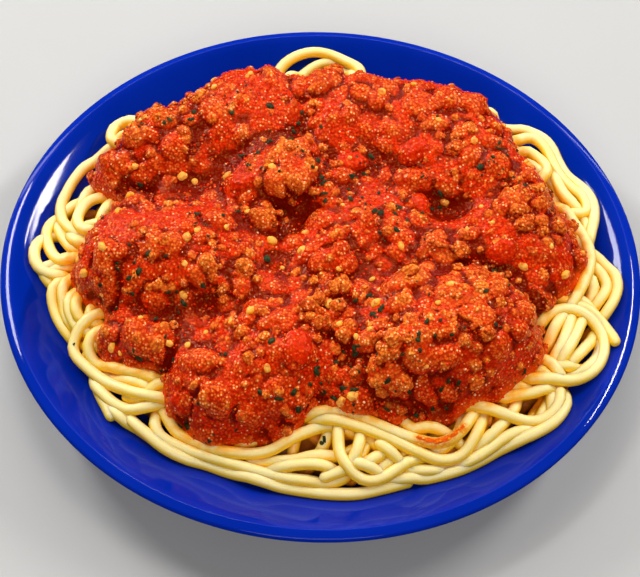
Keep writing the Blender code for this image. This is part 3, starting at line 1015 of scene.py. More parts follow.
def tube(shape, line, radius, rng, place, painted, **values):
    """Adds a strand along its middle line, with blunt rounded ends."""
    rings = np.append(np.arange(0, len(line) - 1, MESH_STEP), len(line) - 1)
    middle = line[rings]
    ahead = unit(np.gradient(middle, axis=0))
    side = unit(np.cross(ahead, (0, 0, 1)))
    over = np.cross(side, ahead)
    swell, uneven = 0.035 * np.sin(rings * 0.23 + rng.uniform(0, TAU)), rng.normal(0, 0.006, len(rings))
    thick = radius * (1 + swell + uneven)
    last = len(rings) - 1
    owner = np.concatenate([[0, 0], np.arange(last + 1), [last, last]])
    past, wide = np.zeros(len(owner)), np.ones(len(owner))
    past[:2], past[-2:] = -STRAND_END[:, 0], STRAND_END[::-1, 0]
    wide[:2], wide[-2:] = STRAND_END[:, 1], STRAND_END[::-1, 1]
    push = ahead * thick[:, None]
    middles = middle[owner] + push[owner] * past[:, None]
    tips = middle[[0, -1]] + push[[0, -1]] * [[-STRAND_TIP], [STRAND_TIP]]
    turn = np.arange(STRAND_SIDES)
    angle = (turn * TAU / STRAND_SIDES)[:, None]
    spoke = side[owner][:, None] * np.cos(angle) + over[owner][:, None] * np.sin(angle)
    body = middles[:, None] + spoke * (thick[owner] * wide)[:, None, None]
    points = np.concatenate([body.reshape(-1, 3), tips])
    # How much each point faces up: the pasta's material paints the tops pale as painted light and the sides
    # golden as painted shade.
    upper = np.append(spoke[:, :, 2].ravel(), (0, 0))
    shape.add(points, upper=upper, **values, **painted(points))
    quads = grid_faces(len(owner), STRAND_SIDES, wrap=True)
    row, column = np.divmod(quads[:, 0], STRAND_SIDES)
    run, round_by = run_along(middles), TAU * radius / STRAND_SIDES
    along = np.stack([run[row], run[row], run[row + 1], run[row + 1]], -1)
    about = np.stack([column, column + 1, column + 1, column], -1)
    shape.join(quads, np.stack([along, about * round_by], -1) + place)
    after, tip_number = np.roll(turn, -1), len(body) * STRAND_SIDES
    to_last = tip_number - STRAND_SIDES
    for faces, tip, near in (
        (fan(tip_number, after, turn), -0.5, 0.0),
        (fan(tip_number + 1, turn + to_last, after + to_last), run[-1] + 0.5, run[-1]),
    ):
        along = np.broadcast_to([tip, near, near], faces.shape)
        about = np.stack([turn + 0.5, turn, turn + 1], -1)
        shape.join(faces, np.stack([along, about * round_by], -1) + place)


def core_edge(edge, angle):
    """How far out the core reaches: less at the back, where few strands cover it."""
    return edge(angle) - CORE_INSET - BACK_INSET * soft_step(np.sin(angle), 0.70, 0.95)


def build_core(colours, edge, top, floor):
    """The smaller heap inside, which fills the middle and shows only between the strands."""
    angle, share = disc_grid(CORE_ROWS)
    radius = share * core_edge(edge, angle)
    x, y = radius * np.cos(angle), radius * np.sin(angle)
    low = read(floor, x, y) + 0.3
    high = np.maximum(read(top, x, y), low + 0.2)
    rim = np.zeros(len(x), bool)
    rim[rim_of(CORE_ROWS)] = True
    flat = np.column_stack([x, y])
    upper = np.column_stack([flat, np.where(rim, low, high)])
    lower = np.column_stack([flat, low])
    number = np.where(rim, np.arange(len(x)), len(x) + np.cumsum(~rim) - 1)
    quads = grid_faces(CORE_ROWS, CORE_ROWS)
    under = quads[:, ::-1]
    shape = Shape()
    shape.add(np.concatenate([upper, lower[~rim]]))
    shape.join(quads, flat[quads])
    shape.join(number[under], flat[under] + CORE_UNDER)
    shape.piece("spaghetti_core", pasta_core_shade(colours), "spaghetti", "spaghetti")


def build_spaghetti(sizes, amounts, colours):
    """The core, and all the strands that lie on it and on each other."""
    edge, sauce_edge = outline_of("spaghetti"), outline_of("meat_sauce")
    x, y = raster_places()
    distance, angle = np.hypot(x, y), np.arctan2(y, x)
    cad_top = blurred(top_raster("spaghetti", edge, 0.97), HEAP_BLUR)
    floor = wall_height(sizes, distance)
    depth = CORE_DEPTH + CORE_SLOPE * soft_step(distance / edge(angle), 0.42, 0.66)
    core_top = np.maximum(cad_top - depth, floor + 0.4)
    build_core(colours, edge, core_top, floor)
    top = np.where(distance < core_edge(edge, angle), core_top, floor)
    ground = top.copy()
    radius, bend = sizes.strand_diameter / MM / 2, sizes.strand_bend / MM
    most = cad_top - radius - SAUCE_ROOM * soft_step(sauce_edge(angle) - distance, -1.5, 4.5)
    rng = np.random.default_rng(11)
    routes = list(routes_below(rng, amounts.filler_strands, edge))
    routes += [tucked(route, sauce_edge) for route in ROUTES]
    paths = [spline(route, STRAND_STEP) for route in routes]
    above = sum(covered_by(path, radius) for path in paths)
    lines = []
    for path in paths:
        above -= covered_by(path, radius)
        lines.append(lay_strand(top, ground, most - LAYER * above, path, radius, bend))
    workings["strand top"] = top
    smooth_top = blurred(top, STRANDS_BLUR)
    smear = spline(SMEAR, 1.0)

    def painted(points):
        """How deep the points of a strand lie, for the painted shade deep in the heap, and where the sauce
        has stained it.
        """
        x, y, z = points.T
        below = read(smooth_top, x, y) - z
        out = np.hypot(x, y) - sauce_edge(np.arctan2(y, x))
        off = np.min([np.hypot(x - a, y - b) for a, b in smear], axis=0)
        shown = soft_step(z - read(top, x, y), -2.0, -0.8)
        near = (1 - soft_step(out, 0.5, STAIN_REACH)) * soft_step(below, -1.0, 3.5)
        return {
            "smear": np.exp(-((off / SMEAR_REACH) ** 2)) * shown,
            # Painted shade: how far below the heap's top a point lies.
            "deep": soft_step(below, 0.2, 5.0),
            "stain": np.maximum(near, HALO * (1 - soft_step(out, 0.0, HALO_REACH))),
        }

    shape, place = Shape(), [0.0, 0.0]
    for line in lines:
        size = len(line) * STRAND_STEP + 4
        if place[0] + size > MAP_ROW:
            place = [0.0, place[1] + TAU * radius + 1]
        tube(shape, line, radius, rng, place, painted, tone=rng.uniform(0, 1))
        place[0] += size + 1
    shape.piece("spaghetti_strands", cooked_pasta(colours), "spaghetti")


# ---------------------------------------------------------------- the meat sauce

SAUCE_ROWS = 302
RAY_STEPS = 260
NOSE_STEPS = 40
NOSE_TURN = math.radians(128)  # how far the edge rolls over and under
TUCK = 1.8  # how deep the rolled edge reaches among the strands, in millimetres
LEAST_FALL, MOST_FALL = 4.0, 10.0
LEAST_NOSE = 2.6  # how thick the edge is at least, in millimetres
BACK_SPREAD = 3.4  # how much further the sauce runs in the notch at the back, in millimetres
BACK_TURN, BACK_WIDTH = math.radians(95.4), math.radians(5)
EDGE_INSET = 0.7  # the clumps push the edge out by about this much
EDGE_WOBBLE, WOBBLE_WIDTH = 0.55, 2.6  # how far the edge wanders in and out, and over how much of it
FORM_BLUR, LOBE_BLUR, VALLEY_BLUR = 1.3, 6, 7  # how far the form is evened out, alone and to find its lobes
LOBE_RAISE = 0.25  # how much more the spoonfuls stand out than in the frame's form; their creases do twice
RELIEF_ROOM = 0.9  # how far the form lies below the frame's, so that the relief stays inside it
CEILING, CEILING_SOFT = 0.3, 0.5  # how far below the frame's top the relief ends, and how softly
LOBES = 120

# Caps raised in the sauce: half length in millimetres, half width by it, rise, and share of the meat.
LOBE_HALF, LOBE_WIDE, LOBE_RISE, LOBE_MEAT = (3.8, 7.2), (0.65, 0.95), (1.3, 2.8), (0.2, 1.0)
CLUMP_HALF, CLUMP_WIDE, CLUMP_RISE, CLUMP_MEAT = (2.4, 6.0), (0.6, 0.95), (0.25, 0.8), (0, 0.8)
CRUMB_HALF, CRUMB_WIDE, CRUMB_RISE, CRUMB_MEAT = (0.9, 2.0), (0.65, 1.0), (0.3, 0.65), (0.3, 1.0)
CRUMB_SEAT = np.array((1.45, 1.3, 0.62))  # half length, half width and rise of the swell round a crumb
TOMATO_SEAT = 1.1, 0.42  # how far past a piece of tomato its swell reaches, and its rise by the half width
LOBE_BLEND, CLUMP_BLEND, CRUMB_BLEND = 0.5, 0.4, 0.12  # how softly they meet, in millimetres
BIG_HILLS, SMALL_HILLS, FINE_HILLS = (0.5, 7, 1), (0.28, 2.8, 2), (0.06, 1.1, 3)  # height, width and seed
EVEN_PASSES = 14  # of smoothing, for the directions in which the relief rises
# The creases found with these set where the sauce's colour is darkened as painted shade.
CREASES = (
    # passes of smoothing that they are seen against, least and most depth in millimetres, strength
    (4, 0.03, 0.22, 0.6),
    (EVEN_PASSES, 0.05, 0.40, 1),
    (60, 0.05, 0.75, 1),
)
RIDGES = 0.02, 0.30  # least and most height of a ridge, in millimetres

CRUMB_KINDS = (
    # level of detail, count, smallest and largest half length in millimetres
    (4, 26, 1.9, 2.8),
    (3, 120, 1.1, 1.8),
    (2, 220, 0.6, 1.2),
)
TOMATO_PLACES = (
    # x, y, half length and half width in millimetres, turn in degrees
    (-6, -44, 6.2, 4.4, 40),
    (-38, -54, 4.0, 3.0, -30),
    (27, 29, 5.4, 4.0, 60),
    (8, 25, 5.0, 3.6, 10),
    (28, 12, 4.8, 3.4, -20),
    (52, -6, 5.0, 3.6, 35),
    (-24, 14, 4.6, 3.2, 70),
)

# Where the meat lies in coarse lumps: x, y, reach in millimetres, and how much of it is meat.
MEAT_PATCHES = (
    (42, -22, 26, 0.95), (62, 12, 20, 0.80), (18, -40, 16, 0.85), (2, -28, 14, 0.75), (-20, -38, 12, 0.80),
    (-50, -14, 11, 0.55), (-28, -20, 10, 0.75), (-44, 44, 20, 0.70), (-8, 22, 16, 0.80), (-62, 28, 12, 0.6),
    (40, 40, 20, 0.45), (4, 60, 16, 0.45), (28, 6, 16, 0.50), (-18, 4, 8, 0.6),
)
LEAST_MEAT = 0.16

# The sauce's underside: how far out each ring lies by its rim, and how deep among the strands.
UNDER_RINGS = ((0.93, 1.4), (0.8, 1.8), (0.4, 1.8))
UNDER_ROOM = 3.0
UNDER_MAP = np.array((-70.0, -90.0))  # where its rings start on the map
UNDER_MAP_STEP = np.array((0.11, 3.0))


def tree_of(points):
    """A tree that finds the nearest of these points."""
    tree = KDTree(len(points))
    for number, point in enumerate(points):
        tree.insert(point, number)
    tree.balance()
    return tree


def soft_max(cells, cap, blend):
    """The higher of two surfaces, with a small fillet where they meet."""
    gap = np.clip((cap - cells) / blend, -30, 30)
    return cells + blend * np.log1p(np.exp(gap))


def point_normals(points, quads):
    """The upward normals of a mesh of four-sided faces at its points."""
    one, two, three, four = (points[quads[:, k]] for k in range(4))
    across = np.repeat(np.cross(three - one, four - two), 4, axis=0)
    normals = np.stack([np.bincount(quads.ravel(), column, len(points)) for column in across.T], -1)
    return normals / np.maximum(np.linalg.norm(normals, axis=1, keepdims=True), 1e-12)


def smoothed(values, quads, passes):
    """Point values evened out over the faces round each point, this many times."""
    corners = quads.ravel()
    around = np.bincount(corners, minlength=len(values)).astype(float)
    for _ in range(passes):
        if values.ndim == 1:
            face = np.repeat(values[quads].mean(1), 4)
            values = np.bincount(corners, face, len(values)) / around
        else:
            values = np.stack([smoothed(column, quads, 1) for column in values.T], -1)
    return values


def hills(points, height, width, seed):
    """Smooth noise of this height at each point, with hills about this many millimetres wide."""
    offset = Vector((seed * 7.3, seed * 3.1, seed * 5.7))
    return height * np.array([noise.noise(Vector(p) / width + offset) for p in points])


def meat_share(points):
    """How much of the sauce is coarse meat at each point."""
    share = np.full(len(points), LEAST_MEAT)
    for x, y, reach, strength in MEAT_PATCHES:
        far = (points[:, 0] - x) ** 2 + (points[:, 1] - y) ** 2
        share = np.maximum(share, strength * np.exp(-far / (0.8 * reach) ** 2))
    return share


def thinned(rng, candidates, number, weight):
    """Picks this many of the candidates at random, fewer where the weight is less."""
    picked = []
    while len(picked) < number:
        at = int(candidates[rng.integers(len(candidates))])
        if rng.uniform() < weight[at]:
            picked.append(at)
    return picked


def sauce_rays(outline, strands, base):
    """The form along rays from its middle: radius and height for each angle and even share of the way out."""
    c, s = np.cos(OUTLINE_TURNS)[:, None], np.sin(OUTLINE_TURNS)[:, None]
    edge = outline(OUTLINE_TURNS)[:, None]
    seat = read(blurred(strands, FORM_BLUR), edge * c, edge * s)
    behind = read(blurred(base, 3), (edge - 6) * c, (edge - 6) * s)
    fall = np.clip(0.8 * (behind - seat), LEAST_FALL, MOST_FALL)
    roll = np.linspace(0, NOSE_TURN, NOSE_STEPS)
    flat = np.linspace(0, 1, RAY_STEPS, endpoint=False) * (edge - fall)
    nose = edge - np.where(roll < math.pi / 2, fall, TUCK) * (1 - np.sin(roll))
    radius = np.concatenate([flat, nose], 1)
    above = np.maximum(read(base, radius * c, radius * s) - seat, LEAST_NOSE)
    drop = np.concatenate([np.ones_like(flat), np.broadcast_to(np.cos(roll), nose.shape)], 1)
    height = seat + np.where(drop > 0, above, TUCK) * drop
    step = np.hypot(np.diff(radius, axis=1), np.diff(height, axis=1))
    run = np.concatenate([np.zeros((OUTLINE_STEPS, 1)), np.cumsum(step, 1)], 1)
    share = np.linspace(0, 1, RAY_STEPS)
    even = [[np.interp(share * r[-1], r, line) for line in (a, b)] for r, a, b in zip(run, radius, height)]
    return np.array(even), run[:, -1]


def between_rays(table, angle, share):
    """Reads a table by angle and by share, between its rows and columns."""
    table = np.concatenate([table, table[:1]])
    return between(table, (angle % TAU) / TAU * (len(table) - 1), share * (table.shape[1] - 1))


class Relief:
    """Clumps and crumbs raised out of a form along its normals."""

    def __init__(self, points, normals):
        self.points, self.normals = points, normals
        self.height, self.meat = np.zeros(len(points)), np.zeros(len(points))
        self.tree = tree_of(points)

    def cap(self, at, half_long, half_wide, turn, rise, blend, brown):
        """Raises an oval cap about a point of the form, and says how much of it is meat."""
        near = np.array([hit[1] for hit in self.tree.find_range(self.points[at], half_long * 1.2)])
        out = self.normals[at]
        first = np.cross(out, (math.sin(turn), math.cos(turn), 0.3))
        first /= np.linalg.norm(first)
        second = np.cross(out, first)
        offset = self.points[near] - self.points[at]
        share = (offset @ first / half_long) ** 2 + (offset @ second / half_wide) ** 2
        facing = self.normals[near] @ out > 0.2
        near, share = near[facing], share[facing]
        drop = 1 - np.sqrt(np.clip(1 - share, 0, 1))
        before = self.height[near]
        cap = np.where(share < 1, self.height[at] + rise - 0.9 * half_wide * drop, NOWHERE)
        self.height[near] = soft_max(before, cap, blend)
        grown = soft_step(cap - before, -0.15, 0.25)
        self.meat[near] = self.meat[near] * (1 - grown) + brown * grown


def close_under(shape, rim, strands, base):
    """Closes the sauce from below: rings that step in from its rim, and a fan."""
    outer = shape.points[0][rim]
    number = np.arange(len(rim))
    unpainted = dict.fromkeys(shape.values, 0)

    def places(corners, row):
        """Map places of a row of faces, from the corners of the first in steps along and down."""
        along = (number[:, None, None] + np.array(corners)[:, :1]) * (UNDER_MAP_STEP[0], 0)
        return UNDER_MAP + along - (np.array(corners)[:, 1:] + row) * (0, UNDER_MAP_STEP[1])

    previous = rim
    for row, (inset, drop) in enumerate(UNDER_RINGS):
        x, y = outer[:, 0] * inset, outer[:, 1] * inset
        under = np.minimum(read(strands, x, y), read(base, x, y) - UNDER_ROOM) - drop
        here = number + shape.count
        faces = np.stack([previous, here, np.roll(here, -1), np.roll(previous, -1)], -1)
        shape.add(np.column_stack([x, y, under]), **unpainted)
        shape.join(faces - shape.first, places([(0, 0), (0, 1), (1, 1), (1, 0)], row))
        previous = here
    shape.add([(0, 0, under.mean())], **unpainted)
    middle = fan(shape.first, np.roll(previous, -1), previous)
    shape.join(middle - shape.first, places([(0, 1), (1, 0), (0, 0)], len(UNDER_RINGS) + 1 / 3))


def build_sauce(amounts, colours):
    """The heap of sauce: the frame's form in clumps and crumbs, its edge rolled onto the strands."""
    if "strand top" not in workings:
        raise RuntimeError("Make the spaghetti first: the sauce lies on it")
    frame_edge = outline_of("meat_sauce")
    rng = np.random.default_rng(23)
    wobble = ripple(rng, WOBBLE_WIDTH)

    def outline(angle):
        edge = frame_edge(angle) - EDGE_INSET
        edge = edge + BACK_SPREAD * np.exp(-(((angle % TAU - BACK_TURN) / BACK_WIDTH) ** 2))
        return edge + EDGE_WOBBLE * read(wobble, edge * np.cos(angle), edge * np.sin(angle))

    strands = workings["strand top"]
    base = blurred(top_raster("meat_sauce", frame_edge, 0.985), FORM_BLUR)
    rise = base - blurred(base, LOBE_BLUR)
    base += np.where(rise < 0, rise, LOBE_RAISE * rise) - RELIEF_ROOM
    rays, lengths = sauce_rays(outline, strands, base)
    angle, share = disc_grid(SAUCE_ROWS)
    radius = between_rays(rays[:, 0], angle, share)
    height = between_rays(rays[:, 1], angle, share)
    inward = (1 - share) * np.interp(angle % TAU, OUTLINE_TURNS, lengths, period=TAU)
    form = np.column_stack([radius * np.cos(angle), radius * np.sin(angle), height])
    quads = grid_faces(SAUCE_ROWS, SAUCE_ROWS)
    out = unit(smoothed(point_normals(form, quads), quads, EVEN_PASSES))
    relief, meaty = Relief(form, out), meat_share(form)
    relief.height += hills(form, *BIG_HILLS) + hills(form, *SMALL_HILLS)
    shown = np.flatnonzero((inward > 2.0) & (out[:, 2] > -0.1))
    places = rng.choice(shown, amounts.clumps + amounts.relief_crumbs)
    for at in thinned(rng, shown, LOBES, 0.25 + meaty):
        half = rng.uniform(*LOBE_HALF)
        wide = half * rng.uniform(*LOBE_WIDE)
        turn, rise = rng.uniform(0, math.pi), rng.uniform(*LOBE_RISE)
        relief.cap(at, half, wide, turn, rise, LOBE_BLEND, meaty[at] * rng.uniform(*LOBE_MEAT))
    for at in places[:amounts.clumps]:
        half = rng.uniform(*CLUMP_HALF)
        wide = half * rng.uniform(*CLUMP_WIDE)
        rise, turn = rng.uniform(*CLUMP_RISE) + 0.09 * half, rng.uniform(0, math.pi)
        relief.cap(at, half, wide, turn, rise, CLUMP_BLEND, meaty[at] * rng.uniform(*CLUMP_MEAT))
    for at in places[amounts.clumps:]:
        if rng.uniform() > 0.25 + 0.9 * meaty[at]:
            continue
        half = rng.uniform(*CRUMB_HALF)
        wide, rise = half * rng.uniform(*CRUMB_WIDE), half * rng.uniform(*CRUMB_RISE)
        relief.cap(at, half, wide, rng.uniform(0, math.pi), rise, CRUMB_BLEND, rng.uniform(*CRUMB_MEAT))
    crumbs = []
    for kind, (_, number, smallest, largest) in enumerate(CRUMB_KINDS):
        for at in thinned(rng, shown, number, meaty**1.5):
            size, turn = rng.uniform(smallest, largest), rng.uniform(0, math.pi)
            long, wide, rise = size * CRUMB_SEAT
            relief.cap(at, long, wide, turn, rise, CRUMB_BLEND * 2, 0.8)
            crumbs.append((at, kind, size))
    tomatoes, (past, rise) = [], TOMATO_SEAT
    for x, y, long, wide, _ in TOMATO_PLACES:
        at = int(np.argmin(np.hypot(form[:, 0] - x, form[:, 1] - y)))
        relief.cap(at, long * past, wide * past, 0, wide * rise, CLUMP_BLEND, 0)
        tomatoes.append(at)
    relief.height += hills(form, *FINE_HILLS)
    points = form + out * relief.height[:, None] * soft_step(inward, 0.4, 3.0)[:, None]
    ceiling = CAD_BOX[1][2] / MM - CEILING - CEILING_SOFT
    eased = ceiling + CEILING_SOFT * np.tanh((points[:, 2] - ceiling) / CEILING_SOFT)
    points[:, 2] = np.minimum(points[:, 2], eased)

    def hollow(passes):
        """How far each point lies below the even surface round it."""
        return ((smoothed(points, quads, passes) - points) * out).sum(1)

    depths = {passes: hollow(passes) for passes, *_ in CREASES}
    creases = [soft_step(depths[passes], low, high) * strength for passes, low, high, strength in CREASES]
    lobes = blurred(base, VALLEY_BLUR) - base
    shape = Shape()
    # The creases and valleys below mark where the sauce's colour takes painted shade.
    shape.add(
        points,
        meat=relief.meat,
        crease=np.max(creases, axis=0),
        valley=soft_step(read(lobes, form[:, 0], form[:, 1]), 0.3, 2.4) * soft_step(inward, 3, 9),
        rim=1 - soft_step(inward, 2.0, 5.0),
        ridge=soft_step(-depths[EVEN_PASSES], *RIDGES),
    )
    flat = np.column_stack([share * np.cos(angle), share * np.sin(angle)]) * lengths.mean()
    shape.join(quads, flat[quads])
    close_under(shape, rim_of(SAUCE_ROWS), strands, base)
    keep = (inward > 1.5) & (out[:, 2] > -0.3)
    workings["sauce"] = points[keep], out[keep], inward[keep]
    workings["sauce tree"] = tree_of(points[keep])
    workings["crumbs"] = [(points[at], out[at], kind, size) for at, kind, size in crumbs]
    workings["tomatoes"] = [(points[at], out[at]) for at in tomatoes]
    shape.piece("meat_sauce_surface", bolognese(colours), "meat_sauce", "meat_sauce")


# ---------------------------------------------------------------- what lies in and on the sauce

# Half sizes in millimetres, and how far a bit is raised from the surface by its half height.
GRAIN_HALF, GRAIN_RAISED = (0.26, 0.52), (-0.1, 0.45)
ONION_HALF, ONION_RAISED = (0.65, 1.55), (-0.35, 0.15)
CRUMB_RAISED, TOMATO_RAISED, SMEAR_RAISED = (-0.72, -0.42), -0.74, -0.1
LEAF_SIZE, SPECK_SIZE = (0.45, 1.2), (0.16, 0.36)  # by the usual flake
SPECKS_APART = 2.2  # about how far from its leaf a speck fell, in millimetres
LUMP_HILLS = ((1.0, 1.6), (0.55, 3.6))  # share of a lump's unevenness, and how close its hills lie
SMEAR_LUMP = (1.6, 1.1, 0.3)  # half length, half width in the middle and half height, in millimetres
SMEAR_NARROWS = 0.22
FLAKE_CORNERS = 8
FLAKE_THICKNESS = 0.09

# Flakes that fell beside the sauce, on the strands: x, y and size in millimetres.
STRAY_FLAKES = ((2.6, -62.4, 1.3), (1.9, -63.4, 0.7), (-70.5, -32, 0.5), (49, -57, 0.45))


def ball(level):
    """A round mesh of triangles: its points and faces."""
    work = bmesh.new()
    bmesh.ops.create_icosphere(work, subdivisions=level, radius=1)
    points = np.array([v.co for v in work.verts])
    faces = np.array([[v.index for v in f.verts] for f in work.faces])
    work.free()
    return points, faces


def turned_up(up, spin):
    """The rotation that stands a piece on a surface with this normal."""
    return Vector(up).to_track_quat("Z", "Y").to_matrix() @ Matrix.Rotation(spin, 3, "Z")


class Bits(Shape):
    """Many small closed forms in one mesh, each with a cell of the map, two wide and one high."""

    def __init__(self, seed, columns):
        super().__init__()
        self.rng = np.random.default_rng(seed)
        self.columns, self.made = columns, 0

    def next_cell(self):
        """The lower left corner of the map's next free cell."""
        row, column = divmod(self.made, self.columns)
        self.made += 1
        return column * 2.0, row

    def lump(self, form, place, halves, raised, rough, spin=None, **values):
        """Adds one uneven rounded lump that sits in the surface at a place."""
        (points, faces), (point, up) = form, place
        body = points
        if rough:
            offset = Vector(self.rng.uniform(-50, 50, 3))
            swell = sum(
                share * np.array([noise.noise(Vector(p) * close + offset) for p in points])
                for share, close in LUMP_HILLS
            )
            body = points * (1 + rough * swell[:, None] * 2)
        spin = self.rng.uniform(0, TAU) if spin is None else spin
        body = (body * halves) @ np.array(turned_up(up, spin)).T
        # How high on the lump each point lies; the crumbs' material paints their low parts with painted
        # shade.
        top = soft_step(points[:, 2], -0.2, 0.9)
        self.add(body + point + up * halves[2] * raised, top=top, **values)
        corner = points[faces]
        places = corner[:, :, :2] * 0.47 + 0.5
        places[corner[:, :, 2].mean(1) < 0, :, 0] += 1.0
        self.join(faces, places + self.next_cell())

    def flake(self, place, size):
        """Adds one thin curled flake of herb, a closed leaf of a few corners."""
        (point, up), rng = place, self.rng
        angle = np.arange(FLAKE_CORNERS) * TAU / FLAKE_CORNERS
        reach = size * (1 + rng.uniform(-0.32, 0.32, FLAKE_CORNERS))
        flat = np.column_stack([reach * np.cos(angle), reach * np.sin(angle) * rng.uniform(0.45, 0.8)])
        curl, bow = rng.uniform(-0.25, 0.35, 2) / size
        lift = flat**2 @ (curl, bow) + rng.uniform(-0.08, 0.08, FLAKE_CORNERS) * size
        top = np.column_stack([flat, lift + FLAKE_THICKNESS])
        middles = [(0, 0, FLAKE_THICKNESS * 1.6), (0, 0, -FLAKE_THICKNESS * 0.6)]
        points = np.concatenate([top, top - (0, 0, 2 * FLAKE_THICKNESS), middles])
        turn = turned_up(up, rng.uniform(0, TAU)) @ Matrix.Rotation(rng.uniform(-0.4, 0.4), 3, "X")
        self.add(points @ np.array(turn).T + point + up * 0.3)
        here = np.arange(FLAKE_CORNERS)
        after, under = np.roll(here, -1), here + FLAKE_CORNERS
        after_under = after + FLAKE_CORNERS
        mapped = points[:, :2] / (3 * size) + 0.5 + self.next_cell()
        upper = fan(2 * FLAKE_CORNERS, here, after)
        lower = fan(2 * FLAKE_CORNERS + 1, after_under, under)
        sides = np.stack([here, under, after_under, after], -1)
        for faces, aside in ((upper, 0), (lower, 1), (sides, 0)):
            self.join(faces, mapped[faces] + (aside, 0))


def sauce_scatter(rng, number, least_inward, weight=None):
    """Random places on the sauce, each with its normal, thinned by a weight from 0 to 1."""
    if "sauce" not in workings:
        raise RuntimeError("Make the sauce first: this lies in it")
    points, normals, inward = workings["sauce"]
    made = 0
    while made < number:
        at = rng.integers(len(points))
        if inward[at] < least_inward or weight and rng.uniform() > weight(points[at]):
            continue
        made += 1
        yield points[at], normals[at]


def beside(point, offset):
    """The nearest place on the sauce to a point moved by an offset."""
    points, normals, _ = workings["sauce"]
    at = workings["sauce tree"].find(point + offset)[1]
    return points[at], normals[at]


def on_strand(x, y):
    """A place on top of a strand in front, where it leans forward a little."""
    return np.array([x, y, read(workings["strand top"], x, y)]), np.array([0.0, -0.3, 0.95])


def build_crumbs(sizes, colours):
    """Crumbs of minced meat that stand out of the sauce, in loose clusters."""
    if "crumbs" not in workings:
        raise RuntimeError("Make the sauce first: the crumbs lie in it")
    shape = Bits(seed=37, columns=26)
    rng, forms = shape.rng, [ball(kind[0]) for kind in CRUMB_KINDS]
    scale = sizes.crumb_size / MM / CRUMB_SIZE
    for point, up, kind, size in workings["crumbs"]:
        halves = size * scale * np.array([1, rng.uniform(0.75, 0.95), rng.uniform(0.6, 0.8)])
        raised, meat = rng.uniform(*CRUMB_RAISED), rng.uniform(0.3, 1.0)
        shape.lump(forms[kind], (point, up), halves, raised, rough=0.15, meat=meat)
    shape.piece("meat_crumbs", minced_meat(colours), "meat_sauce")


def build_grains(amounts, colours):
    """Fine loose grains of pulp and meat that give the sauce its rough wet face."""
    shape = Bits(seed=47, columns=70)
    rng, form = shape.rng, ball(1)
    for place in sauce_scatter(rng, amounts.grains, 0.8):
        halves = rng.uniform(*GRAIN_HALF) * np.array([1, rng.uniform(0.7, 1), rng.uniform(0.6, 0.9)])
        shape.lump(form, place, halves, rng.uniform(*GRAIN_RAISED), rough=0, tone=rng.uniform(0, 1))
    shape.piece("sauce_grains", pulp_grains(colours), "meat_sauce")


def build_tomatoes(colours):
    """The soft pieces of tomato, sunk in the sauce."""
    shape, form = Bits(seed=41, columns=3), ball(5)
    for place, (_, _, long, wide, turn) in zip(workings["tomatoes"], TOMATO_PLACES):
        halves = np.array([long, wide, wide * 0.72])
        shape.lump(form, place, halves, TOMATO_RAISED, rough=0.07, spin=math.radians(turn))
    shape.piece("tomato_pieces", soft_tomato(colours), "meat_sauce")


def build_onions(amounts, colours):
    """Small bits of onion, anywhere on the sauce."""
    shape = Bits(seed=43, columns=10)
    rng, form = shape.rng, ball(3)
    for place in sauce_scatter(rng, amounts.onions, 3):
        halves = rng.uniform(*ONION_HALF) * np.array([1.1, rng.uniform(0.75, 0.98), rng.uniform(0.65, 0.85)])
        shape.lump(form, place, halves, rng.uniform(*ONION_RAISED), rough=0.10)
    shape.piece("onion_bits", golden_onion(colours), "meat_sauce")


def build_herbs(sizes, amounts, colours):
    """Flakes and specks of dried herb, thicker in some patches than in others."""
    shape, size = Bits(seed=59, columns=32), sizes.herb_size / MM / 2
    rng = shape.rng
    patches = ripple(rng, 9)

    def thickly(place):
        """How much herb fell here, from 0 to 1."""
        return 0.10 + 0.90 * float(soft_step(read(patches, place[0], place[1]), -0.2, 1.2))

    for place in sauce_scatter(rng, amounts.herbs, 2.5, thickly):
        shape.flake(place, size * rng.uniform(*LEAF_SIZE))
        for _ in range(rng.integers(0, 5)):
            near = beside(place[0], rng.normal(0, SPECKS_APART, 3))
            shape.flake(near, size * rng.uniform(*SPECK_SIZE))
    for x, y, reach in STRAY_FLAKES:
        shape.flake(on_strand(x, y), reach)
    shape.piece("herb_flakes", dried_herb(colours), "meat_sauce")


def build_smear(colours):
    """A smear of sauce along the top of one strand."""
    shape, form = Bits(seed=61, columns=3), ball(3)
    long, widest, high = SMEAR_LUMP
    last = len(SMEAR) - 1
    for number, (x, y) in enumerate(SMEAR):
        wide = widest - SMEAR_NARROWS * abs(number - last / 2)
        ahead = np.subtract(SMEAR[min(number + 1, last)], SMEAR[max(number - 1, 0)])
        halves = np.array([long, wide * 0.8, high])
        spin = math.atan2(ahead[1], ahead[0])
        shape.lump(form, on_strand(x, y), halves, SMEAR_RAISED, rough=0.10, spin=spin)
    shape.piece("sauce_smear", thin_sauce(colours), "meat_sauce")


# ---------------------------------------------------------------- the stage

VIEW_LIFT = math.radians(52.2)  # how far above the table the camera looks down from
VIEW_ROLL = math.radians(2.1)
VIEW_DISTANCE = 0.627
VIEW_AIM = Vector((-0.0001, -0.0103, 0.022))
VIEW_LENS, SENSOR = 118.7, 36
BOX_AIM = Vector((0, 0, 0.02))  # what the soft boxes face
ROOM_COLOUR, ROOM_STRENGTH = (1, 0.92, 0.82, 1), 0.13
FLOOR_RADIUS = 3

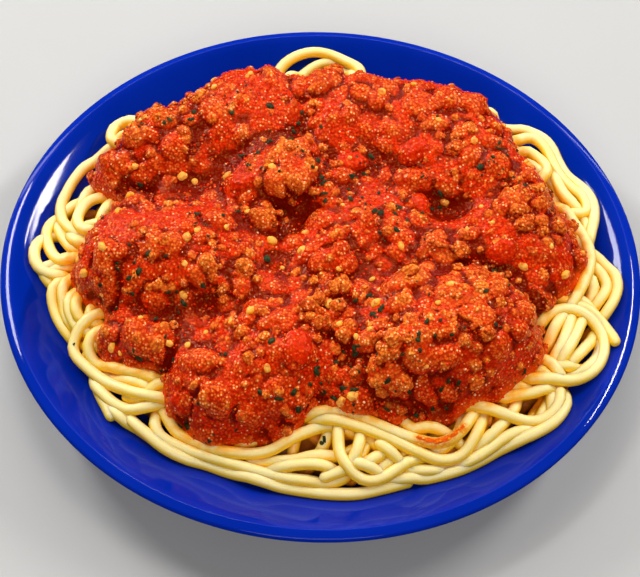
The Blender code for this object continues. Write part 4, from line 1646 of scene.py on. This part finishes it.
# Each soft box: the turn and lift of its two ends in degrees, its distance and width in metres, its watts.
SOFT_BOXES = {
    "right_box": ((11.5, 47.2), (45, 30.4), 1.07, 0.032, 5.6),
    "left_box": ((156, 42.5), (128, 23.8), 1.07, 0.085, 6.0),
    "back_box": ((130, 56), (60, 56), 1.2, 0.80, 3.8),
    "top_box": ((150, 66), (95, 66), 1.1, 0.16, 2.4),
    "rim_box": ((155, 13), (45, 13), 1.25, 0.05, 2.2),
    "front_box": ((-112, 40), (-68, 40), 1.3, 0.60, 6.5),
}


def put(data, place, right, up, away):
    """Adds a camera or light at a place, looking against the direction away."""
    made = bpy.data.objects.new(data.name, data)
    made.matrix_world = Matrix.Translation(place) @ Matrix((right, up, away)).transposed().to_4x4()
    bpy.context.scene.collection.objects.link(made)
    return made


def add_camera():
    """The camera, above the front of the plate."""
    back = Vector((0, -math.cos(VIEW_LIFT), math.sin(VIEW_LIFT)))
    place = Vector((0, 0, VIEW_AIM.z)) + back * VIEW_DISTANCE
    ahead = (VIEW_AIM - place).normalized()
    right = ahead.cross(Vector((0, 0, 1))).normalized()
    up = right.cross(ahead)
    c, s = math.cos(VIEW_ROLL), math.sin(VIEW_ROLL)
    lens = bpy.data.cameras.new("camera")
    lens.sensor_width, lens.lens, lens.clip_start = SENSOR, VIEW_LENS, 0.01
    bpy.context.scene.camera = put(lens, place, right * c + up * s, up * c - right * s, -ahead)


def toward(turn, lift):
    """The direction at this angle round from +X and this angle up, both in degrees."""
    turn, lift = math.radians(turn), math.radians(lift)
    return Vector((math.cos(lift) * math.cos(turn), math.cos(lift) * math.sin(turn), math.sin(lift)))


def add_soft_box(name, first, second, distance, width, power):
    """An area light that faces the plate: a strip whose ends lie in these two directions."""
    first, second = (toward(*end) * distance for end in (first, second))
    middle = (first + second) / 2
    light = bpy.data.lights.new(name, "AREA")
    light.shape, light.size, light.size_y = "ELLIPSE", (second - first).length, width
    light.energy = power
    away, along = middle.normalized(), (second - first).normalized()
    put(light, middle + BOX_AIM, along, away.cross(along), away)


def build_stage(colours):
    """The floor, the soft boxes, the dim room and the camera."""
    mesh = bpy.data.meshes.new("floor")
    work = bmesh.new()
    bmesh.ops.create_circle(work, cap_ends=True, segments=64, radius=FLOOR_RADIUS)
    work.to_mesh(mesh)
    work.free()
    mesh.materials.append(pale_floor(colours))
    floor = bpy.data.objects.new("floor", mesh)
    scene = bpy.context.scene
    scene.collection.objects.link(floor)
    floor.visible_glossy = False
    for name, settings in SOFT_BOXES.items():
        add_soft_box(name, *settings)
    world = bpy.data.worlds.new("room")
    world.use_nodes = True
    background = world.node_tree.nodes["Background"].inputs
    background["Color"].default_value = ROOM_COLOUR
    background["Strength"].default_value = ROOM_STRENGTH
    world.cycles_visibility.glossy = False
    scene.world = world
    scene.view_settings.view_transform = "Standard"
    add_camera()


# ---------------------------------------------------------------- operators and panel


class MakePlate(Operator):
    """Make the glazed plate"""

    bl_idname = "bolognese.plate"
    bl_label = "Plate"

    def execute(self, context):
        scene = context.scene
        build_plate(scene.bolognese_sizes, scene.bolognese_colours)
        return {"FINISHED"}


class MakeSpaghetti(Operator):
    """Make the spaghetti's core and lay its strands"""

    bl_idname = "bolognese.spaghetti"
    bl_label = "Spaghetti"

    def execute(self, context):
        scene = context.scene
        build_spaghetti(scene.bolognese_sizes, scene.bolognese_amounts, scene.bolognese_colours)
        return {"FINISHED"}


class MakeSauce(Operator):
    """Make the heap of meat sauce on the spaghetti"""

    bl_idname = "bolognese.sauce"
    bl_label = "Meat sauce"

    def execute(self, context):
        scene = context.scene
        build_sauce(scene.bolognese_amounts, scene.bolognese_colours)
        return {"FINISHED"}


class MakeCrumbs(Operator):
    """Make the crumbs of minced meat and the loose grains"""

    bl_idname = "bolognese.crumbs"
    bl_label = "Meat crumbs"

    def execute(self, context):
        scene = context.scene
        build_crumbs(scene.bolognese_sizes, scene.bolognese_colours)
        build_grains(scene.bolognese_amounts, scene.bolognese_colours)
        return {"FINISHED"}


class MakeToppings(Operator):
    """Make the pieces of tomato and onion, the flakes of herb and the smear of sauce"""

    bl_idname = "bolognese.toppings"
    bl_label = "Tomato, onion and herbs"

    def execute(self, context):
        scene = context.scene
        build_tomatoes(scene.bolognese_colours)
        build_onions(scene.bolognese_amounts, scene.bolognese_colours)
        build_herbs(scene.bolognese_sizes, scene.bolognese_amounts, scene.bolognese_colours)
        build_smear(scene.bolognese_colours)
        return {"FINISHED"}


class MakeStage(Operator):
    """Make the floor, the lights and the camera"""

    bl_idname = "bolognese.stage"
    bl_label = "Stage"

    def execute(self, context):
        build_stage(context.scene.bolognese_colours)
        return {"FINISHED"}


MAKERS = (MakePlate, MakeSpaghetti, MakeSauce, MakeCrumbs, MakeToppings, MakeStage)


class BolognesePanel(Panel):
    """Lists the pieces and their settings"""

    bl_idname = "VIEW3D_PT_bolognese"
    bl_label = "Spaghetti bolognese"
    bl_space_type = "VIEW_3D"
    bl_region_type = "UI"
    bl_category = "Bolognese"

    def draw(self, context):
        for maker in MAKERS:
            self.layout.operator(maker.bl_idname)
        for group in GROUPS:
            settings = getattr(context.scene, group)
            box = self.layout.box()
            for name in settings.__annotations__:
                box.prop(settings, name)


GROUPS = {
    "bolognese_sizes": BologneseSizes,
    "bolognese_amounts": BologneseAmounts,
    "bolognese_colours": BologneseColours,
}
CLASSES = (*GROUPS.values(), *MAKERS, BolognesePanel)


def register():
    """Makes the operators and the panel known, and gives the scene its settings."""
    for cls in CLASSES:
        bpy.utils.register_class(cls)
    for name, group in GROUPS.items():
        setattr(bpy.types.Scene, name, PointerProperty(type=group))


def unregister():
    """Takes away what register added."""
    for name in GROUPS:
        delattr(bpy.types.Scene, name)
    for cls in reversed(CLASSES):
        bpy.utils.unregister_class(cls)


def main():
    """Makes every piece and the stage in turn."""
    register()
    for maker in MAKERS:
        group, name = maker.bl_idname.split(".")
        getattr(getattr(bpy.ops, group), name)()


if __name__ == "__main__":
    main()
